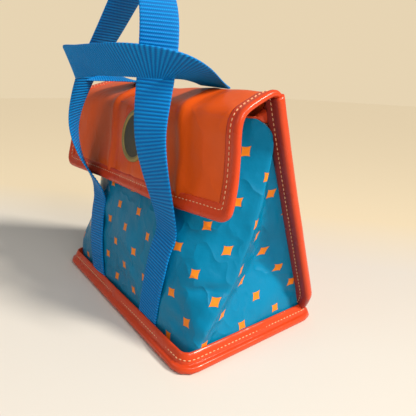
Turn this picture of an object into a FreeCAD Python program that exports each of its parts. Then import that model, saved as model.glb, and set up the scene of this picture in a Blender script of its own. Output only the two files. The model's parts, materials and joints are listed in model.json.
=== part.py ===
"""A soft insulated lunch bag with a fold-over flap and two webbing handles.

The bag stands on its base panel, with the middle of the base underside at the origin, +Z up and the
front, where the flap closes, towards -Y. All lengths are millimetres.
"""
import FreeCAD
import Part
import Sketcher
import math
import os

from FreeCAD import Placement, Rotation, Vector

# Driving dimensions: alias and value, one row of the sheet each.
SIZES = (
    # The printed wrap: its foot, the ridge it is sewn up to and the mouth.
    ("base_width", 214),
    ("base_depth", 119),
    ("ridge_height", 178),
    ("ridge_back", 2),
    ("rim_height", 166),
    ("rim_front", 32),
    ("rim_width", 124),
    # The gusset: the bend of its front crease and the tip of its inward fold.
    ("crease_height", 78),
    ("crease_front", 12),
    ("fold_height", 58),
    ("fold_back", 12),
    ("fold_depth", 12),
    # Layers of the walls and the base.
    ("sheet_thickness", 0.9),
    ("foam_thickness", 3),
    ("liner_thickness", 0.5),
    ("board_thickness", 1.6),
    ("base_clearance", 1.8),
    ("back_clearance", 3),
    # Binding tape and the seam allowance it covers.
    ("seam_width", 8),
    ("tape_thickness", 0.9),
    ("tape_leaf", 9),
    ("base_binding_height", 10),
    ("base_binding_proud", 3.2),
    ("base_binding_corner", 5),
    ("base_binding_bevel", 2.2),
    ("base_binding_leaf", 5),
    ("base_binding_roll", 1.2),
    # Webbing straps and the two free handle loops.
    ("web_width", 25),
    ("web_thickness", 1.4),
    ("strap_spacing", 110),
    ("strap_shift", 3),
    ("front_leave_height", 84),
    ("front_loop_rise", 166),
    ("front_loop_pinch", 8.5),
    ("front_loop_bow", 19),
    ("front_loop_setback", 8),
    ("front_loop_lean", 9),
    ("back_loop_reach", 79),
    ("back_loop_rise", 17),
    ("back_loop_bulge", 12.5),
    # The flap, its closure and its badge.
    ("flap_edge_height", 104),
    ("flap_bend_radius", 10),
    ("flap_bend_drop", 2.5),
    ("flap_rise", 0.9),
    ("flap_fold_gap", 1.4),
    ("flap_level_width", 146),
    ("flap_sway_left", 8),
    ("flap_sway_right", 8.5),
    ("strip_length", 70),
    ("strip_width", 20),
    ("strip_thickness", 1.2),
    ("strip_rise", 10),
    ("badge_diameter", 41),
    ("badge_thickness", 1.6),
    ("badge_rim", 3.2),
    ("badge_rise", 39),
    ("badge_shift", 6),
    # Gaps between pieces that aren't sewn face to face.
    ("fit_gap", 0.3),
    ("loop_gap", 0.6),
    ("ridge_gap", 6),
)

LOOP_SECTIONS = 28
SUPERELLIPSE_POWER = 3.4
LOOP_EASING = 0.12
TWIST_POWER = 0.9
LEAN_POWER = 3
TURN_STEP = 0.01
CUTTER_MARGIN = 2.0
TOUCH = 0.01
# How far the marks of the gusset draw in for each millimetre that the wall is drawn in.
CREASE_DRAW = 0.15
FOLD_DRAW = 0.12
RIM_DRAW = 0.55

doc = FreeCAD.newDocument("lunch_bag")
sheet = doc.addObject("Spreadsheet::Sheet", "sizes")
for row, (alias, number) in enumerate(SIZES, start=1):
    sheet.set(f"A{row}", alias)
    sheet.set(f"B{row}", str(number))
    sheet.setAlias(f"B{row}", alias)
doc.recompute()

subparts = []


def size(alias):
    """The number in the sheet's cell of that alias."""
    return float(getattr(sheet, alias))


def keep(thing, label):
    """Name a finished sub-part and list it for export."""
    thing.Label = label
    subparts.append(thing)
    return thing


# Walls that lean: each has a foot, the way up its slope and the way out of the bag.
half_depth = size("base_depth") / 2
sheet_thickness = size("sheet_thickness")
front_lean = math.atan2(half_depth - size("rim_front"), size("rim_height") - sheet_thickness)
back_lean = math.atan2(half_depth - size("ridge_back"), size("ridge_height") - sheet_thickness)
front_foot = Vector(0, -half_depth, sheet_thickness)
front_up = Vector(0, math.sin(front_lean), math.cos(front_lean))
front_out = Vector(0, -math.cos(front_lean), math.sin(front_lean))
back_foot = Vector(0, half_depth, sheet_thickness)
back_up = Vector(0, -math.sin(back_lean), math.cos(back_lean))
back_out = Vector(0, math.cos(back_lean), math.sin(back_lean))
wall_thickness = sheet_thickness + size("foam_thickness") + size("liner_thickness")
FRONT_RUN = "(sizes.base_depth / 2 - sizes.rim_front) / (sizes.rim_height - sizes.sheet_thickness)"
BACK_RUN = "(sizes.base_depth / 2 - sizes.ridge_back) / (sizes.ridge_height - sizes.sheet_thickness)"
FRONT_COS = f"cos(atan({FRONT_RUN}))"
BACK_COS = f"cos(atan({BACK_RUN}))"
BACK_SIN = f"sin(atan({BACK_RUN}))"
strap_reach = size("strap_spacing") / 2
strap_sides = {"left": size("strap_shift") - strap_reach, "right": size("strap_shift") + strap_reach}


def on_front(height, proud, across=0.0):
    """A place on the front wall at a height, lying flat on it and standing proud of it."""
    climb = (height - front_foot.z - proud * front_out.z) / front_up.z
    spot = front_foot + front_up * climb + front_out * proud + Vector(across, 0, 0)
    return Placement(spot, Rotation(Vector(1, 0, 0), front_up, front_out, "XYZ"))


def on_back(height, proud, across=0.0):
    """The same on the back wall."""
    climb = (height - back_foot.z - proud * back_out.z) / back_up.z
    spot = back_foot + back_up * climb + back_out * proud + Vector(across, 0, 0)
    return Placement(spot, Rotation(Vector(-1, 0, 0), back_up, back_out, "XYZ"))


def new_sketch(body, role):
    """An empty sketch on one of the body's own origin planes."""
    sketch = body.newObject("Sketcher::SketchObject", f"{body.Name}_sketch")
    plane = next(item for item in body.Origin.OriginFeatures if item.Role == role)
    sketch.AttachmentSupport = (plane, "")
    sketch.MapMode = "FlatFace"
    return sketch


def bind(sketch, constraint, expression):
    """Add a constraint whose value follows an expression of the sheet."""
    index = sketch.addConstraint(constraint)
    sketch.setExpression(f"Constraints[{index}]", expression)


def draw_loop(sketch, corners):
    """Closed lines through the corners; returns the number of the first line."""
    first = sketch.GeometryCount
    count = len(corners)
    for index, corner in enumerate(corners):
        following = corners[(index + 1) % count]
        sketch.addGeometry(Part.LineSegment(Vector(*corner, 0), Vector(*following, 0)))
    for index in range(count):
        joined = first + (index + 1) % count
        sketch.addConstraint(Sketcher.Constraint("Coincident", first + index, 2, joined, 1))
    return first


def draw_rectangle(sketch, width, height, centred):
    """A rectangle astride the sketch's upright axis, centred or standing on the level axis."""
    wide = sketch.evalExpression(width)
    high = sketch.evalExpression(height)
    low = -high / 2 if centred else 0.0
    corners = [(-wide / 2, low), (wide / 2, low), (wide / 2, low + high), (-wide / 2, low + high)]
    first = draw_loop(sketch, corners)
    sketch.addConstraint(Sketcher.Constraint("Horizontal", first + 2))
    for index in (1, 3):
        sketch.addConstraint(Sketcher.Constraint("Vertical", first + index))
    if centred:
        sketch.addConstraint(Sketcher.Constraint("Horizontal", first))
        sketch.addConstraint(Sketcher.Constraint("Symmetric", first, 1, first + 1, 2, -1, 1))
    else:
        sketch.addConstraint(Sketcher.Constraint("Symmetric", first, 1, first, 2, -2))
        sketch.addConstraint(Sketcher.Constraint("PointOnObject", first, 1, -1))
    bind(sketch, Sketcher.Constraint("DistanceX", first, 1, first, 2, wide), width)
    bind(sketch, Sketcher.Constraint("DistanceY", first + 1, 1, first + 1, 2, high), height)


def draw_polygon(sketch, corners):
    """A closed polygon whose corners are pairs of expressions of the sheet."""
    numbers = [[sketch.evalExpression(word) for word in corner] for corner in corners]
    first = draw_loop(sketch, numbers)
    axes = (("DistanceX", -2), ("DistanceY", -1))
    for index, corner in enumerate(corners):
        for (kind, axis), word, number in zip(axes, corner, numbers[index]):
            if abs(number) < 1e-9:
                sketch.addConstraint(Sketcher.Constraint("PointOnObject", first + index, 1, axis))
            else:
                bind(sketch, Sketcher.Constraint(kind, -1, 1, first + index, 1, number), word)


def add_pad(body, sketch, length):
    """Pad a sketch by an expression of the sheet."""
    pad = body.newObject("PartDesign::Pad", f"{body.Name}_pad")
    pad.Profile = sketch
    pad.setExpression("Length", length)
    return pad


def plate(label, width, height, thickness, placement, centred=False):
    """A flat rectangular layer, padded outwards from its placement."""
    body = doc.addObject("PartDesign::Body", label)
    sketch = new_sketch(body, "XY_Plane")
    draw_rectangle(sketch, width, height, centred)
    add_pad(body, sketch, thickness)
    body.Placement = placement
    return keep(body, label)


def edge_names(shape, wanted):
    """Names of the edges whose two ends and middle all pass a test."""
    names = []
    for index, edge in enumerate(shape.Edges, start=1):
        middle = edge.valueAt((edge.FirstParameter + edge.LastParameter) / 2)
        spots = [vertex.Point for vertex in edge.Vertexes] + [middle]
        if all(wanted(spot) for spot in spots):
            names.append(f"Edge{index}")
    return names


def envelope(name, inset, back=0.0, over=0.0):
    """The closed outer form of the bag, drawn in by an inset at the front and the gussets.

    The back face lies on the inside of the back panel, moved out by back, and the base and the mouth
    are moved out by over. Each gusset is a lower triangle and two sides of an inward fold.
    """
    side = size("base_width") / 2 - inset
    bottom = sheet_thickness - over
    top = size("rim_height") + over

    def front_y(height):
        return front_foot.y + inset + (height - sheet_thickness) * math.tan(front_lean)

    def back_y(height):
        inside = sheet_thickness / math.cos(back_lean)
        return back_foot.y - (height - sheet_thickness) * math.tan(back_lean) - inside + back

    corners = {
        "front_foot": (side, front_y(bottom), bottom),
        "back_foot": (side, back_y(bottom), bottom),
        "crease": (side - CREASE_DRAW * inset, -size("crease_front"), size("crease_height")),
        "fold": (side - size("fold_depth") - FOLD_DRAW * inset, size("fold_back"), size("fold_height")),
        "rim": (size("rim_width") / 2 - RIM_DRAW * inset, front_y(top), top),
        "mouth": (side, back_y(top), top),
    }
    triangles = (
        ("front_foot", "crease", "rim"),
        ("crease", "mouth", "rim"),
        ("front_foot", "fold", "crease"),
        ("crease", "fold", "mouth"),
        ("front_foot", "back_foot", "fold"),
        ("back_foot", "mouth", "fold"),
    )
    bands = (("front_foot", "rim"), ("rim", "mouth"), ("mouth", "back_foot"), ("back_foot", "front_foot"))
    right = {word: Vector(*spot) for word, spot in corners.items()}
    left = {word: Vector(-spot[0], spot[1], spot[2]) for word, spot in corners.items()}
    loops = [[ends[word] for word in words] for ends in (left, right) for words in triangles]
    loops += [[left[low], right[low], right[high], left[high]] for low, high in bands]
    faces = [Part.Face(Part.makePolygon(loop + loop[:1])) for loop in loops]
    solid = Part.makeSolid(Part.makeShell(faces))
    if solid.Volume < 0:
        solid.reverse()
    form = doc.addObject("Part::Feature", name)
    form.Shape = solid
    form.Placement = Placement()
    return form


def boolean(kind, name, base, tool):
    """A Part::Cut or Part::Common of two objects."""
    result = doc.addObject(kind, name)
    result.Base = base
    result.Tool = tool
    return result


# Walls: three nested wraps round the front and both gussets, each the space between two envelopes.
layers = (
    ("outer_wrap", sheet_thickness),
    ("foam_wrap", size("foam_thickness")),
    ("liner_wrap", size("liner_thickness")),
)
depth = 0.0
for label, layer_thickness in layers:
    outside = envelope(f"{label}_outside", depth)
    depth += layer_thickness
    inside = envelope(f"{label}_inside", depth)
    keep(boolean("Part::Cut", label, outside, inside), label)

# Base: the panel, then a board, foam and liner that lie loose inside the walls.
BASE_INNER = (
    "(sizes.sheet_thickness + sizes.foam_thickness + sizes.liner_thickness + sizes.base_clearance)"
)
plate("base_panel", "sizes.base_width", "sizes.base_depth", "sizes.sheet_thickness", Placement(), True)
base_top = sheet_thickness
for label, cell in (
    ("base_board", "board_thickness"),
    ("base_foam", "foam_thickness"),
    ("base_liner", "liner_thickness"),
):
    plate(
        label,
        f"sizes.base_width - 2 * {BASE_INNER}",
        f"sizes.base_depth - 2 * {BASE_INNER}",
        f"sizes.{cell}",
        Placement(Vector(0, 0, base_top), Rotation()),
        True,
    )
    base_top += size(cell)

# Back: the panel runs out past the wrap on both sides, where the gusset is sewn to it.
BACK_WIDTH = "(sizes.base_width + 2 * sizes.seam_width)"
BACK_START = f"(sizes.sheet_thickness * (1 + {BACK_SIN}) + sizes.fit_gap)"


def back_panel():
    """The back sheet, stepped in at its foot to pass inside the base binding."""
    body = doc.addObject("PartDesign::Body", "back_panel")
    sketch = new_sketch(body, "XY_Plane")
    foot = "sizes.base_width / 2"
    edge = f"{BACK_WIDTH} / 2"
    step = f"(sizes.base_binding_height + sizes.sheet_thickness + sizes.fit_gap - {BACK_START}) / {BACK_COS}"
    top = f"(sizes.ridge_height - {BACK_START}) / {BACK_COS}"
    half = ((foot, "0"), (foot, step), (edge, step), (edge, top))
    other_half = tuple((f"-({across})", up) for across, up in reversed(half))
    draw_polygon(sketch, half + other_half)
    add_pad(body, sketch, "sizes.sheet_thickness")
    body.Placement = on_back(sheet.evalExpression(BACK_START), -sheet_thickness)
    return keep(body, "back_panel")


back_panel()
WALL = "(sizes.sheet_thickness + sizes.foam_thickness + sizes.liner_thickness)"
LINING_TOP = "sizes.rim_height - sizes.tape_leaf - sizes.fit_gap"
LINING_BOTTOM = f"({WALL} + sizes.board_thickness + sizes.fit_gap + {WALL} * {BACK_SIN})"
lining_depth = sheet_thickness
for label, cell in (("back_foam", "foam_thickness"), ("back_liner", "liner_thickness")):
    lining_depth += size(cell)
    plate(
        label,
        f"sizes.base_width - 2 * ({BASE_INNER} - sizes.base_clearance + sizes.back_clearance)",
        f"({LINING_TOP} - {LINING_BOTTOM}) / {BACK_COS}",
        f"sizes.{cell}",
        on_back(sheet.evalExpression(LINING_BOTTOM), -lining_depth),
    )


def base_binding():
    """Tape round the base seam: a leaf that slopes out to a rolled lower edge."""
    body = doc.addObject("PartDesign::Body", "base_binding")
    sketch = new_sketch(body, "XY_Plane")
    draw_rectangle(
        sketch,
        "sizes.base_width + 2 * sizes.base_binding_proud",
        "sizes.base_depth + 2 * sizes.base_binding_proud",
        True,
    )
    draw_rectangle(sketch, "sizes.base_width", "sizes.base_depth", True)
    pad = add_pad(body, sketch, "sizes.base_binding_height")
    doc.recompute()

    outer_x = size("base_width") / 2 + size("base_binding_proud")
    outer_y = half_depth + size("base_binding_proud")
    height = size("base_binding_height")

    def outside(spot):
        return abs(spot.x) > size("base_width") / 2 + TOUCH or abs(spot.y) > half_depth + TOUCH

    def corner(spot):
        return abs(abs(spot.x) - outer_x) < TOUCH and abs(abs(spot.y) - outer_y) < TOUCH

    corners = body.newObject("PartDesign::Fillet", "base_binding_corners")
    corners.Base = (pad, edge_names(pad.Shape, corner))
    corners.setExpression("Radius", "sizes.base_binding_corner")
    doc.recompute()

    leaf = body.newObject("PartDesign::Chamfer", "base_binding_leaf")
    leaf.Base = (corners, edge_names(corners.Shape, lambda spot: outside(spot) and spot.z > height - TOUCH))
    leaf.ChamferType = "Two distances"
    leaf.FlipDirection = True
    leaf.setExpression("Size", "sizes.base_binding_bevel")
    leaf.setExpression("Size2", "sizes.base_binding_leaf")
    doc.recompute()

    roll = body.newObject("PartDesign::Fillet", "base_binding_roll")
    roll.Base = (leaf, edge_names(leaf.Shape, lambda spot: outside(spot) and spot.z < TOUCH))
    roll.setExpression("Radius", "sizes.base_binding_roll")
    return keep(body, "base_binding")


def side_binding(side, sign):
    """Tape folded round the upright seam where a gusset meets the back panel."""
    label = f"side_binding_{side}"
    body = doc.addObject("PartDesign::Body", label)
    sketch = new_sketch(body, "XY_Plane")
    seam = f"{sign} * (sizes.base_width / 2 + sizes.fit_gap)"
    edge = f"{sign} * (sizes.base_width / 2 + sizes.seam_width)"
    leaf = f"{sign} * (sizes.base_width / 2 + sizes.seam_width - sizes.tape_leaf)"
    outer = f"{sign} * (sizes.base_width / 2 + sizes.seam_width + sizes.tape_thickness)"
    inner_face = "-sizes.sheet_thickness"
    tape_face = "-sizes.sheet_thickness - sizes.tape_thickness"
    draw_polygon(sketch, (
        (seam, inner_face),
        (edge, inner_face),
        (edge, "0"),
        (leaf, "0"),
        (leaf, "sizes.tape_thickness"),
        (outer, "sizes.tape_thickness"),
        (outer, tape_face),
        (seam, tape_face),
    ))
    bottom = "(sizes.base_binding_height + sizes.fit_gap + sizes.sheet_thickness + sizes.tape_thickness)"
    add_pad(body, sketch, f"(sizes.ridge_height - sizes.ridge_gap - {bottom}) / {BACK_COS}")
    spot = on_back(sheet.evalExpression(bottom), 0.0).Base
    body.Placement = Placement(spot, Rotation(Vector(1, 0, 0), back_out, back_up, "XYZ"))
    return keep(body, label)


base_binding()
side_binding("left", -1)
side_binding("right", 1)

# Rim: tape folded over the three layers of the front wall along the mouth.
tape = size("tape_thickness")
rim_shift = {"back": -tape - size("fit_gap"), "over": tape}
rim_outside = envelope("rim_outside", -tape, **rim_shift)
rim_inside = envelope("rim_inside", wall_thickness + tape, **rim_shift)
rim_ring = boolean("Part::Cut", "rim_ring", rim_outside, rim_inside)
wall_outside = envelope("wall_outside", 0.0)
wall_inside = envelope("wall_inside", wall_thickness)
wall = boolean("Part::Cut", "wall", wall_outside, wall_inside)
rim_sleeve = boolean("Part::Cut", "rim_sleeve", rim_ring, wall)
rim_slab = doc.addObject("Part::Box", "rim_slab")
rim_slab.setExpression("Length", "2 * sizes.base_width")
rim_slab.setExpression("Width", "sizes.base_depth + sizes.ridge_back")
rim_slab.setExpression("Height", "sizes.tape_leaf + 2 * sizes.tape_thickness")
rim_corner = Vector(-size("base_width"), -size("base_depth"), size("rim_height") - size("tape_leaf"))
rim_slab.Placement = Placement(rim_corner, Rotation())
keep(boolean("Part::Common", "rim_binding", rim_sleeve, rim_slab), "rim_binding")

# Straps sewn flat on both walls, from the base binding up.
STRAP_BOTTOM = "(sizes.base_binding_height + sizes.fit_gap)"
strap_bottom = sheet.evalExpression(STRAP_BOTTOM)
for side, across in strap_sides.items():
    plate(
        f"front_strap_{side}",
        "sizes.web_width",
        f"(sizes.front_leave_height - {STRAP_BOTTOM}) / {FRONT_COS}",
        "sizes.web_thickness",
        on_front(strap_bottom, 0.0, across),
    )
    plate(
        f"back_strap_{side}",
        "sizes.web_width",
        f"(sizes.ridge_height - sizes.ridge_gap - {STRAP_BOTTOM}) / {BACK_COS}",
        "sizes.web_thickness",
        on_back(strap_bottom, 0.0, across),
    )


def webbing_loop(label, place, width_way):
    """A strap through sections along a path, turned so that its width follows width_way."""
    sections = []
    for index in range(LOOP_SECTIONS + 1):
        share = index / LOOP_SECTIONS
        turn = math.pi * (share - LOOP_EASING * math.sin(2 * math.pi * share))
        before = place(max(turn - TURN_STEP, 0.0))
        after = place(min(turn + TURN_STEP, math.pi))
        along = (after - before).normalize()
        across = width_way(turn)
        across = (across - along * across.dot(along)).normalize()
        normal = along.cross(across)
        section = doc.addObject("Part::Plane", f"{label}_section")
        section.setExpression("Length", "sizes.web_width")
        section.setExpression("Width", "sizes.web_thickness")
        corner = place(turn) - across * (size("web_width") / 2) - normal * (size("web_thickness") / 2)
        section.Placement = Placement(corner, Rotation(across, normal, along, "XYZ"))
        sections.append(section)
    loop = doc.addObject("Part::Loft", label)
    loop.Sections = sections
    loop.Solid = True
    loop.Ruled = True
    return keep(loop, label)


def twist(turn):
    """How far the webbing has turned from flat at its ends to edge-on at the top of its loop."""
    quarter = math.pi / 2 * math.sin(turn) ** TWIST_POWER
    return quarter if turn <= math.pi / 2 else math.pi - quarter


def front_loop_place(turn):
    """An arch over the flap: its legs draw in, bow forward, then lean back and to the right."""
    start = on_front(size("front_leave_height") + size("loop_gap"), size("web_thickness") / 2).Base
    climb = math.sin(turn)
    bow = 4 * size("front_loop_bow") * climb * (1 - climb)
    lean = size("strap_shift") + size("front_loop_lean") * climb**LEAN_POWER
    pinch = size("front_loop_pinch") * climb * math.sin(2 * turn)
    return Vector(
        strap_reach * math.cos(turn) - pinch + lean,
        start.y + size("front_loop_setback") * climb - bow,
        start.z + size("front_loop_rise") * climb,
    )


hinge_y = size("ridge_back")
hinge_z = size("ridge_height") + size("flap_rise") + size("fit_gap") + size("web_thickness") / 2


def back_loop_place(turn):
    """A hoop that lies forward over the flap, square enough to clear the front handle's legs."""
    power = 2 / SUPERELLIPSE_POWER
    reach = abs(math.sin(turn)) ** power
    spread = math.copysign(abs(math.cos(turn)) ** power, math.cos(turn))
    return Vector(
        size("strap_shift") + strap_reach * spread + size("back_loop_bulge") * math.sin(2 * turn),
        hinge_y - size("back_loop_reach") * reach,
        hinge_z + size("back_loop_rise") * reach,
    )


webbing_loop(
    "front_handle_loop",
    front_loop_place,
    lambda turn: Vector(math.cos(twist(turn)), math.sin(twist(turn)), 0),
)
webbing_loop(
    "back_handle_loop",
    back_loop_place,
    lambda turn: Vector(math.cos(twist(turn)), 0, math.sin(twist(turn))),
)

# Flap: layers along one bent path from the ridge, over the mouth and down the front. The ends hang askew.
lining_thickness = size("liner_thickness")
flap_thickness = sheet_thickness + lining_thickness
hook_proud = size("strip_thickness") + size("fit_gap")
flap_proud = hook_proud + size("strip_thickness") + flap_thickness
flap_half = sheet.evalExpression(BACK_WIDTH) / 2
bend_radius = size("flap_bend_radius")
flap_start = Vector(0, size("ridge_back") - size("flap_fold_gap"), size("ridge_height") + size("flap_rise"))
flap_end = on_front(size("flap_edge_height"), flap_proud).Base
bend_centre = on_front(size("rim_height") - size("flap_bend_drop"), flap_proud).Base - front_out * bend_radius
to_start = flap_start - bend_centre
top_angle = math.atan2(to_start.z, to_start.y) + math.acos(bend_radius / to_start.Length)
top_out = Vector(0, math.cos(top_angle), math.sin(top_angle))
bend_out = (top_out + front_out).normalize()


def sway(across, spot):
    """A spot of the flap's section at a place across the flap, whose ends hang askew lower down."""
    level = size("flap_level_width") / 2
    share = max(abs(across) - level, 0.0) / (flap_half - level)
    side = size("flap_sway_right") if across > 0 else -size("flap_sway_left")
    drop = (flap_start.z - spot.z) / (flap_start.z - flap_end.z)
    return Vector(across, spot.y + side * share * drop, spot.z)


def flap_section(name, paths, across):
    """The closed outline of one layer of the flap at a place across it."""
    edges = []
    rims = []
    for first, bend, last in paths:
        start, bend_in, bend_mid, bend_out_spot, end = (sway(across, spot) for spot in (first, *bend, last))
        edges.append(Part.LineSegment(start, bend_in).toShape())
        edges.append(Part.Arc(bend_in, bend_mid, bend_out_spot).toShape())
        edges.append(Part.LineSegment(bend_out_spot, end).toShape())
        rims.append((start, end))
    edges.append(Part.LineSegment(rims[0][0], rims[1][0]).toShape())
    edges.append(Part.LineSegment(rims[0][1], rims[1][1]).toShape())
    outline = doc.addObject("Part::Feature", name)
    outline.Shape = Part.Wire(Part.__sortEdges__(edges))
    return outline


def flap_layer(name, outer, inner, width, trim=0.0):
    """A layer between two depths under the flap's outer face, trimmed at its lower edge."""
    paths = []
    for sunk in (outer, inner):
        radius = bend_radius - sunk
        bend = [bend_centre + way * radius for way in (top_out, bend_out, front_out)]
        first = flap_start - top_out * sunk
        last = flap_end - front_out * sunk + front_up * trim
        paths.append((first, bend, last))
    half = sheet.evalExpression(width) / 2
    level = size("flap_level_width") / 2
    layer = doc.addObject("Part::Loft", name)
    places = (-half, -level, level, half)
    layer.Sections = [flap_section(f"{name}_section", paths, across) for across in places]
    layer.Solid = True
    layer.Ruled = True
    return layer


keep(flap_layer("flap_cover", 0.0, sheet_thickness, BACK_WIDTH), "flap_cover")
keep(flap_layer("flap_lining", sheet_thickness, flap_thickness, BACK_WIDTH), "flap_lining")
folded_tape = flap_layer(
    "folded_tape", -tape, flap_thickness + tape, f"{BACK_WIDTH} + 2 * sizes.tape_thickness", -tape
)
tape_window = flap_layer(
    "tape_window",
    -CUTTER_MARGIN,
    flap_thickness + CUTTER_MARGIN,
    f"{BACK_WIDTH} - 2 * sizes.tape_leaf",
    size("tape_leaf"),
)
flap_sheets = flap_layer("flap_sheets", 0.0, flap_thickness, BACK_WIDTH)
open_tape = boolean("Part::Cut", "open_tape", folded_tape, tape_window)
keep(boolean("Part::Cut", "flap_binding", open_tape, flap_sheets), "flap_binding")

# Closure: a loop strip on the wrap and a hook strip on the flap lining, one over the other.
strip_bottom = size("flap_edge_height") + size("strip_rise")
strip_size = ("sizes.strip_length", "sizes.strip_width", "sizes.strip_thickness")
plate("loop_strip", *strip_size, on_front(strip_bottom, 0.0))
plate("hook_strip", *strip_size, on_front(strip_bottom, hook_proud))


def badge():
    """A round badge on the flap, with a raised rim round a bare field."""
    body = doc.addObject("PartDesign::Body", "badge")
    sketch = new_sketch(body, "XZ_Plane")
    rim = "sizes.badge_diameter / 2"
    inner = f"{rim} - sizes.badge_rim"
    draw_polygon(sketch, (
        ("0", "0"),
        (rim, "0"),
        (rim, "sizes.badge_thickness / 2"),
        (f"{rim} - sizes.badge_rim / 2", "sizes.badge_thickness"),
        (inner, "sizes.badge_thickness / 2"),
        ("0", "sizes.badge_thickness / 2"),
    ))
    turn = body.newObject("PartDesign::Revolution", "badge_turn")
    turn.Profile = sketch
    turn.ReferenceAxis = (sketch, ["V_Axis"])
    turn.Angle = 360
    height = size("flap_edge_height") + size("badge_rise")
    body.Placement = on_front(height, flap_proud, size("badge_shift"))
    return keep(body, "badge")


badge()
doc.recompute()

# Nothing is written unless every object and every sub-part came out sound.
for thing in doc.Objects:
    if "Invalid" in thing.State or "Error" in thing.State:
        raise RuntimeError(f"{thing.Label} failed: {thing.State}")
for thing in subparts:
    if thing.Shape.isNull() or not thing.Shape.isValid() or not thing.Shape.Solids:
        raise RuntimeError(f"{thing.Label} has no sound solid")

os.makedirs("parts", exist_ok=True)
for thing in subparts:
    thing.Shape.exportStep(f"parts/{thing.Label}.step")
    box = thing.Shape.BoundBox
    print(
        f"{thing.Label}: {len(thing.Shape.Solids)} solid, {thing.Shape.Volume / 1000:.1f} cm3,"
        f" {box.XLength:.1f} x {box.YLength:.1f} x {box.ZLength:.1f} mm"
    )
print(f"hinge line of the flap and the back handle: y {hinge_y:.2f}, z {hinge_z:.2f}")
print(f"front handle leaves at {front_loop_place(0.0)}")
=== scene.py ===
# %% [markdown]
# # A soft lunch bag
# The bag stands on a stiff base. A printed sheet wraps its front and both folded gussets, one sheet of
# orange vinyl makes the back and the flap, and two ribbed webbing straps make the handles. The plain
# model comes first: it is the frame that every piece here has to sit on.

# %% Load the frame
import json
import math

import bpy
import numpy as np
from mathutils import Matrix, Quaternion, Vector, noise
from mathutils.bvhtree import BVHTree


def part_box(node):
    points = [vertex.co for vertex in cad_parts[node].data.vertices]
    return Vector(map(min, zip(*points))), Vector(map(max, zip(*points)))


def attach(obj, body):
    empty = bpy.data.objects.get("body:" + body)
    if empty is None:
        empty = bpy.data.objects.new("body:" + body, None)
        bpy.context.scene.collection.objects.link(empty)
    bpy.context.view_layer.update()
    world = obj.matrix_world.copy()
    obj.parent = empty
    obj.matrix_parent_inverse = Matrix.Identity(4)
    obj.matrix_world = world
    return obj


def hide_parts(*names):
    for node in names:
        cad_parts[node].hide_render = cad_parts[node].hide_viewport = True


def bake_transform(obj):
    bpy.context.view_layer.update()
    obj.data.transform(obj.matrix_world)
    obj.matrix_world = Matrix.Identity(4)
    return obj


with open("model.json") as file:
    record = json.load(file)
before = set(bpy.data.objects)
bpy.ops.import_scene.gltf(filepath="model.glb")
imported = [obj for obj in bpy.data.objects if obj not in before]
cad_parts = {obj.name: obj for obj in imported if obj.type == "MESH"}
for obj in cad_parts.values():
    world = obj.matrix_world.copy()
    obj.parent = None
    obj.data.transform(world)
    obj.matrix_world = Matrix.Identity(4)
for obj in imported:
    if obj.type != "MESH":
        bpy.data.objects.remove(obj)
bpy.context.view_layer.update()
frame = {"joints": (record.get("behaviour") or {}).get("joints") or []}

# %% [markdown]
# Shapes are worked out in millimetres, because that is how a bag maker thinks, and turned into metres when
# a mesh is made. Sizes that the frame already knows are read from its boxes, so nothing is fitted twice.

# %% Sizes from the frame
MM = 0.001


def box_mm(node):
    """Lowest and highest corner of a node of the frame, in millimetres."""
    low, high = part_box(node)
    return np.array(low) / MM, np.array(high) / MM


half_width, half_depth = box_mm("base_panel")[1][:2]
strap_low, strap_high = box_mm("front_strap_right")
strap_right = (strap_low[0] + strap_high[0]) / 2
strap_left = np.mean(box_mm("front_strap_left"), axis=0)[0]
web_width = strap_high[0] - strap_low[0]
leave_height = strap_high[2]
flap_half = box_mm("flap_cover")[1][0]
badge_low, badge_high = box_mm("badge")
hinge = {joint["name"]: np.array(joint["pos_m"]) / MM for joint in frame["joints"]}
ridge_y, ridge_z = hinge["flap_fold"][1:]
RIM_HEIGHT = 166.0
RIM_FRONT = -32.0
RIM_HALF = 62.0
FRONT_SLOPE = (half_depth + RIM_FRONT) / RIM_HEIGHT
RIDGE_ROLL = 2.0
BACK_SLOPE = (half_depth - ridge_y) / (ridge_z - RIDGE_ROLL)
print(f"base {2 * half_width:.0f} x {2 * half_depth:.0f} mm, ridge {ridge_z:.1f} mm up")
print(f"straps at {strap_left:.0f} and {strap_right:.0f}")

# %% [markdown]
# Small helpers keep the cells short. One makes a mesh from arrays of millimetre points and turns its faces
# outwards, one makes the faces of a grid, one closes two grids into a sheet with a rim and one carries a
# profile along a path.

# %% Mesh helpers


def add_object(name, data):
    """An object with that data, linked into the scene."""
    made = bpy.data.objects.new(name, data)
    bpy.context.scene.collection.objects.link(made)
    return made


def new_piece(name, points, faces, material, uv=None):
    """A smooth closed mesh at the origin, from points in millimetres; uv is one pair for each point."""
    points = np.asarray(points, float)
    fans = [(f[0], f[k], f[k + 1]) for f in faces for k in range(1, len(f) - 1)]
    a, b, c = (points[[fan[k] for fan in fans]] for k in range(3))
    if (a * np.cross(b, c)).sum() < 0:
        faces = [tuple(reversed(face)) for face in faces]
    mesh = bpy.data.meshes.new(name)
    mesh.from_pydata((points * MM).tolist(), [], [list(face) for face in faces])
    mesh.materials.append(material)
    mesh.polygons.foreach_set("use_smooth", [True] * len(mesh.polygons))
    if uv is not None:
        corner = np.zeros(len(mesh.loops), np.int32)
        mesh.loops.foreach_get("vertex_index", corner)
        layer = mesh.uv_layers.new(name="cloth")
        layer.data.foreach_set("uv", (np.asarray(uv)[corner] * MM).astype(np.float32).ravel())
    mesh.update()
    return add_object(name, mesh)


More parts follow.
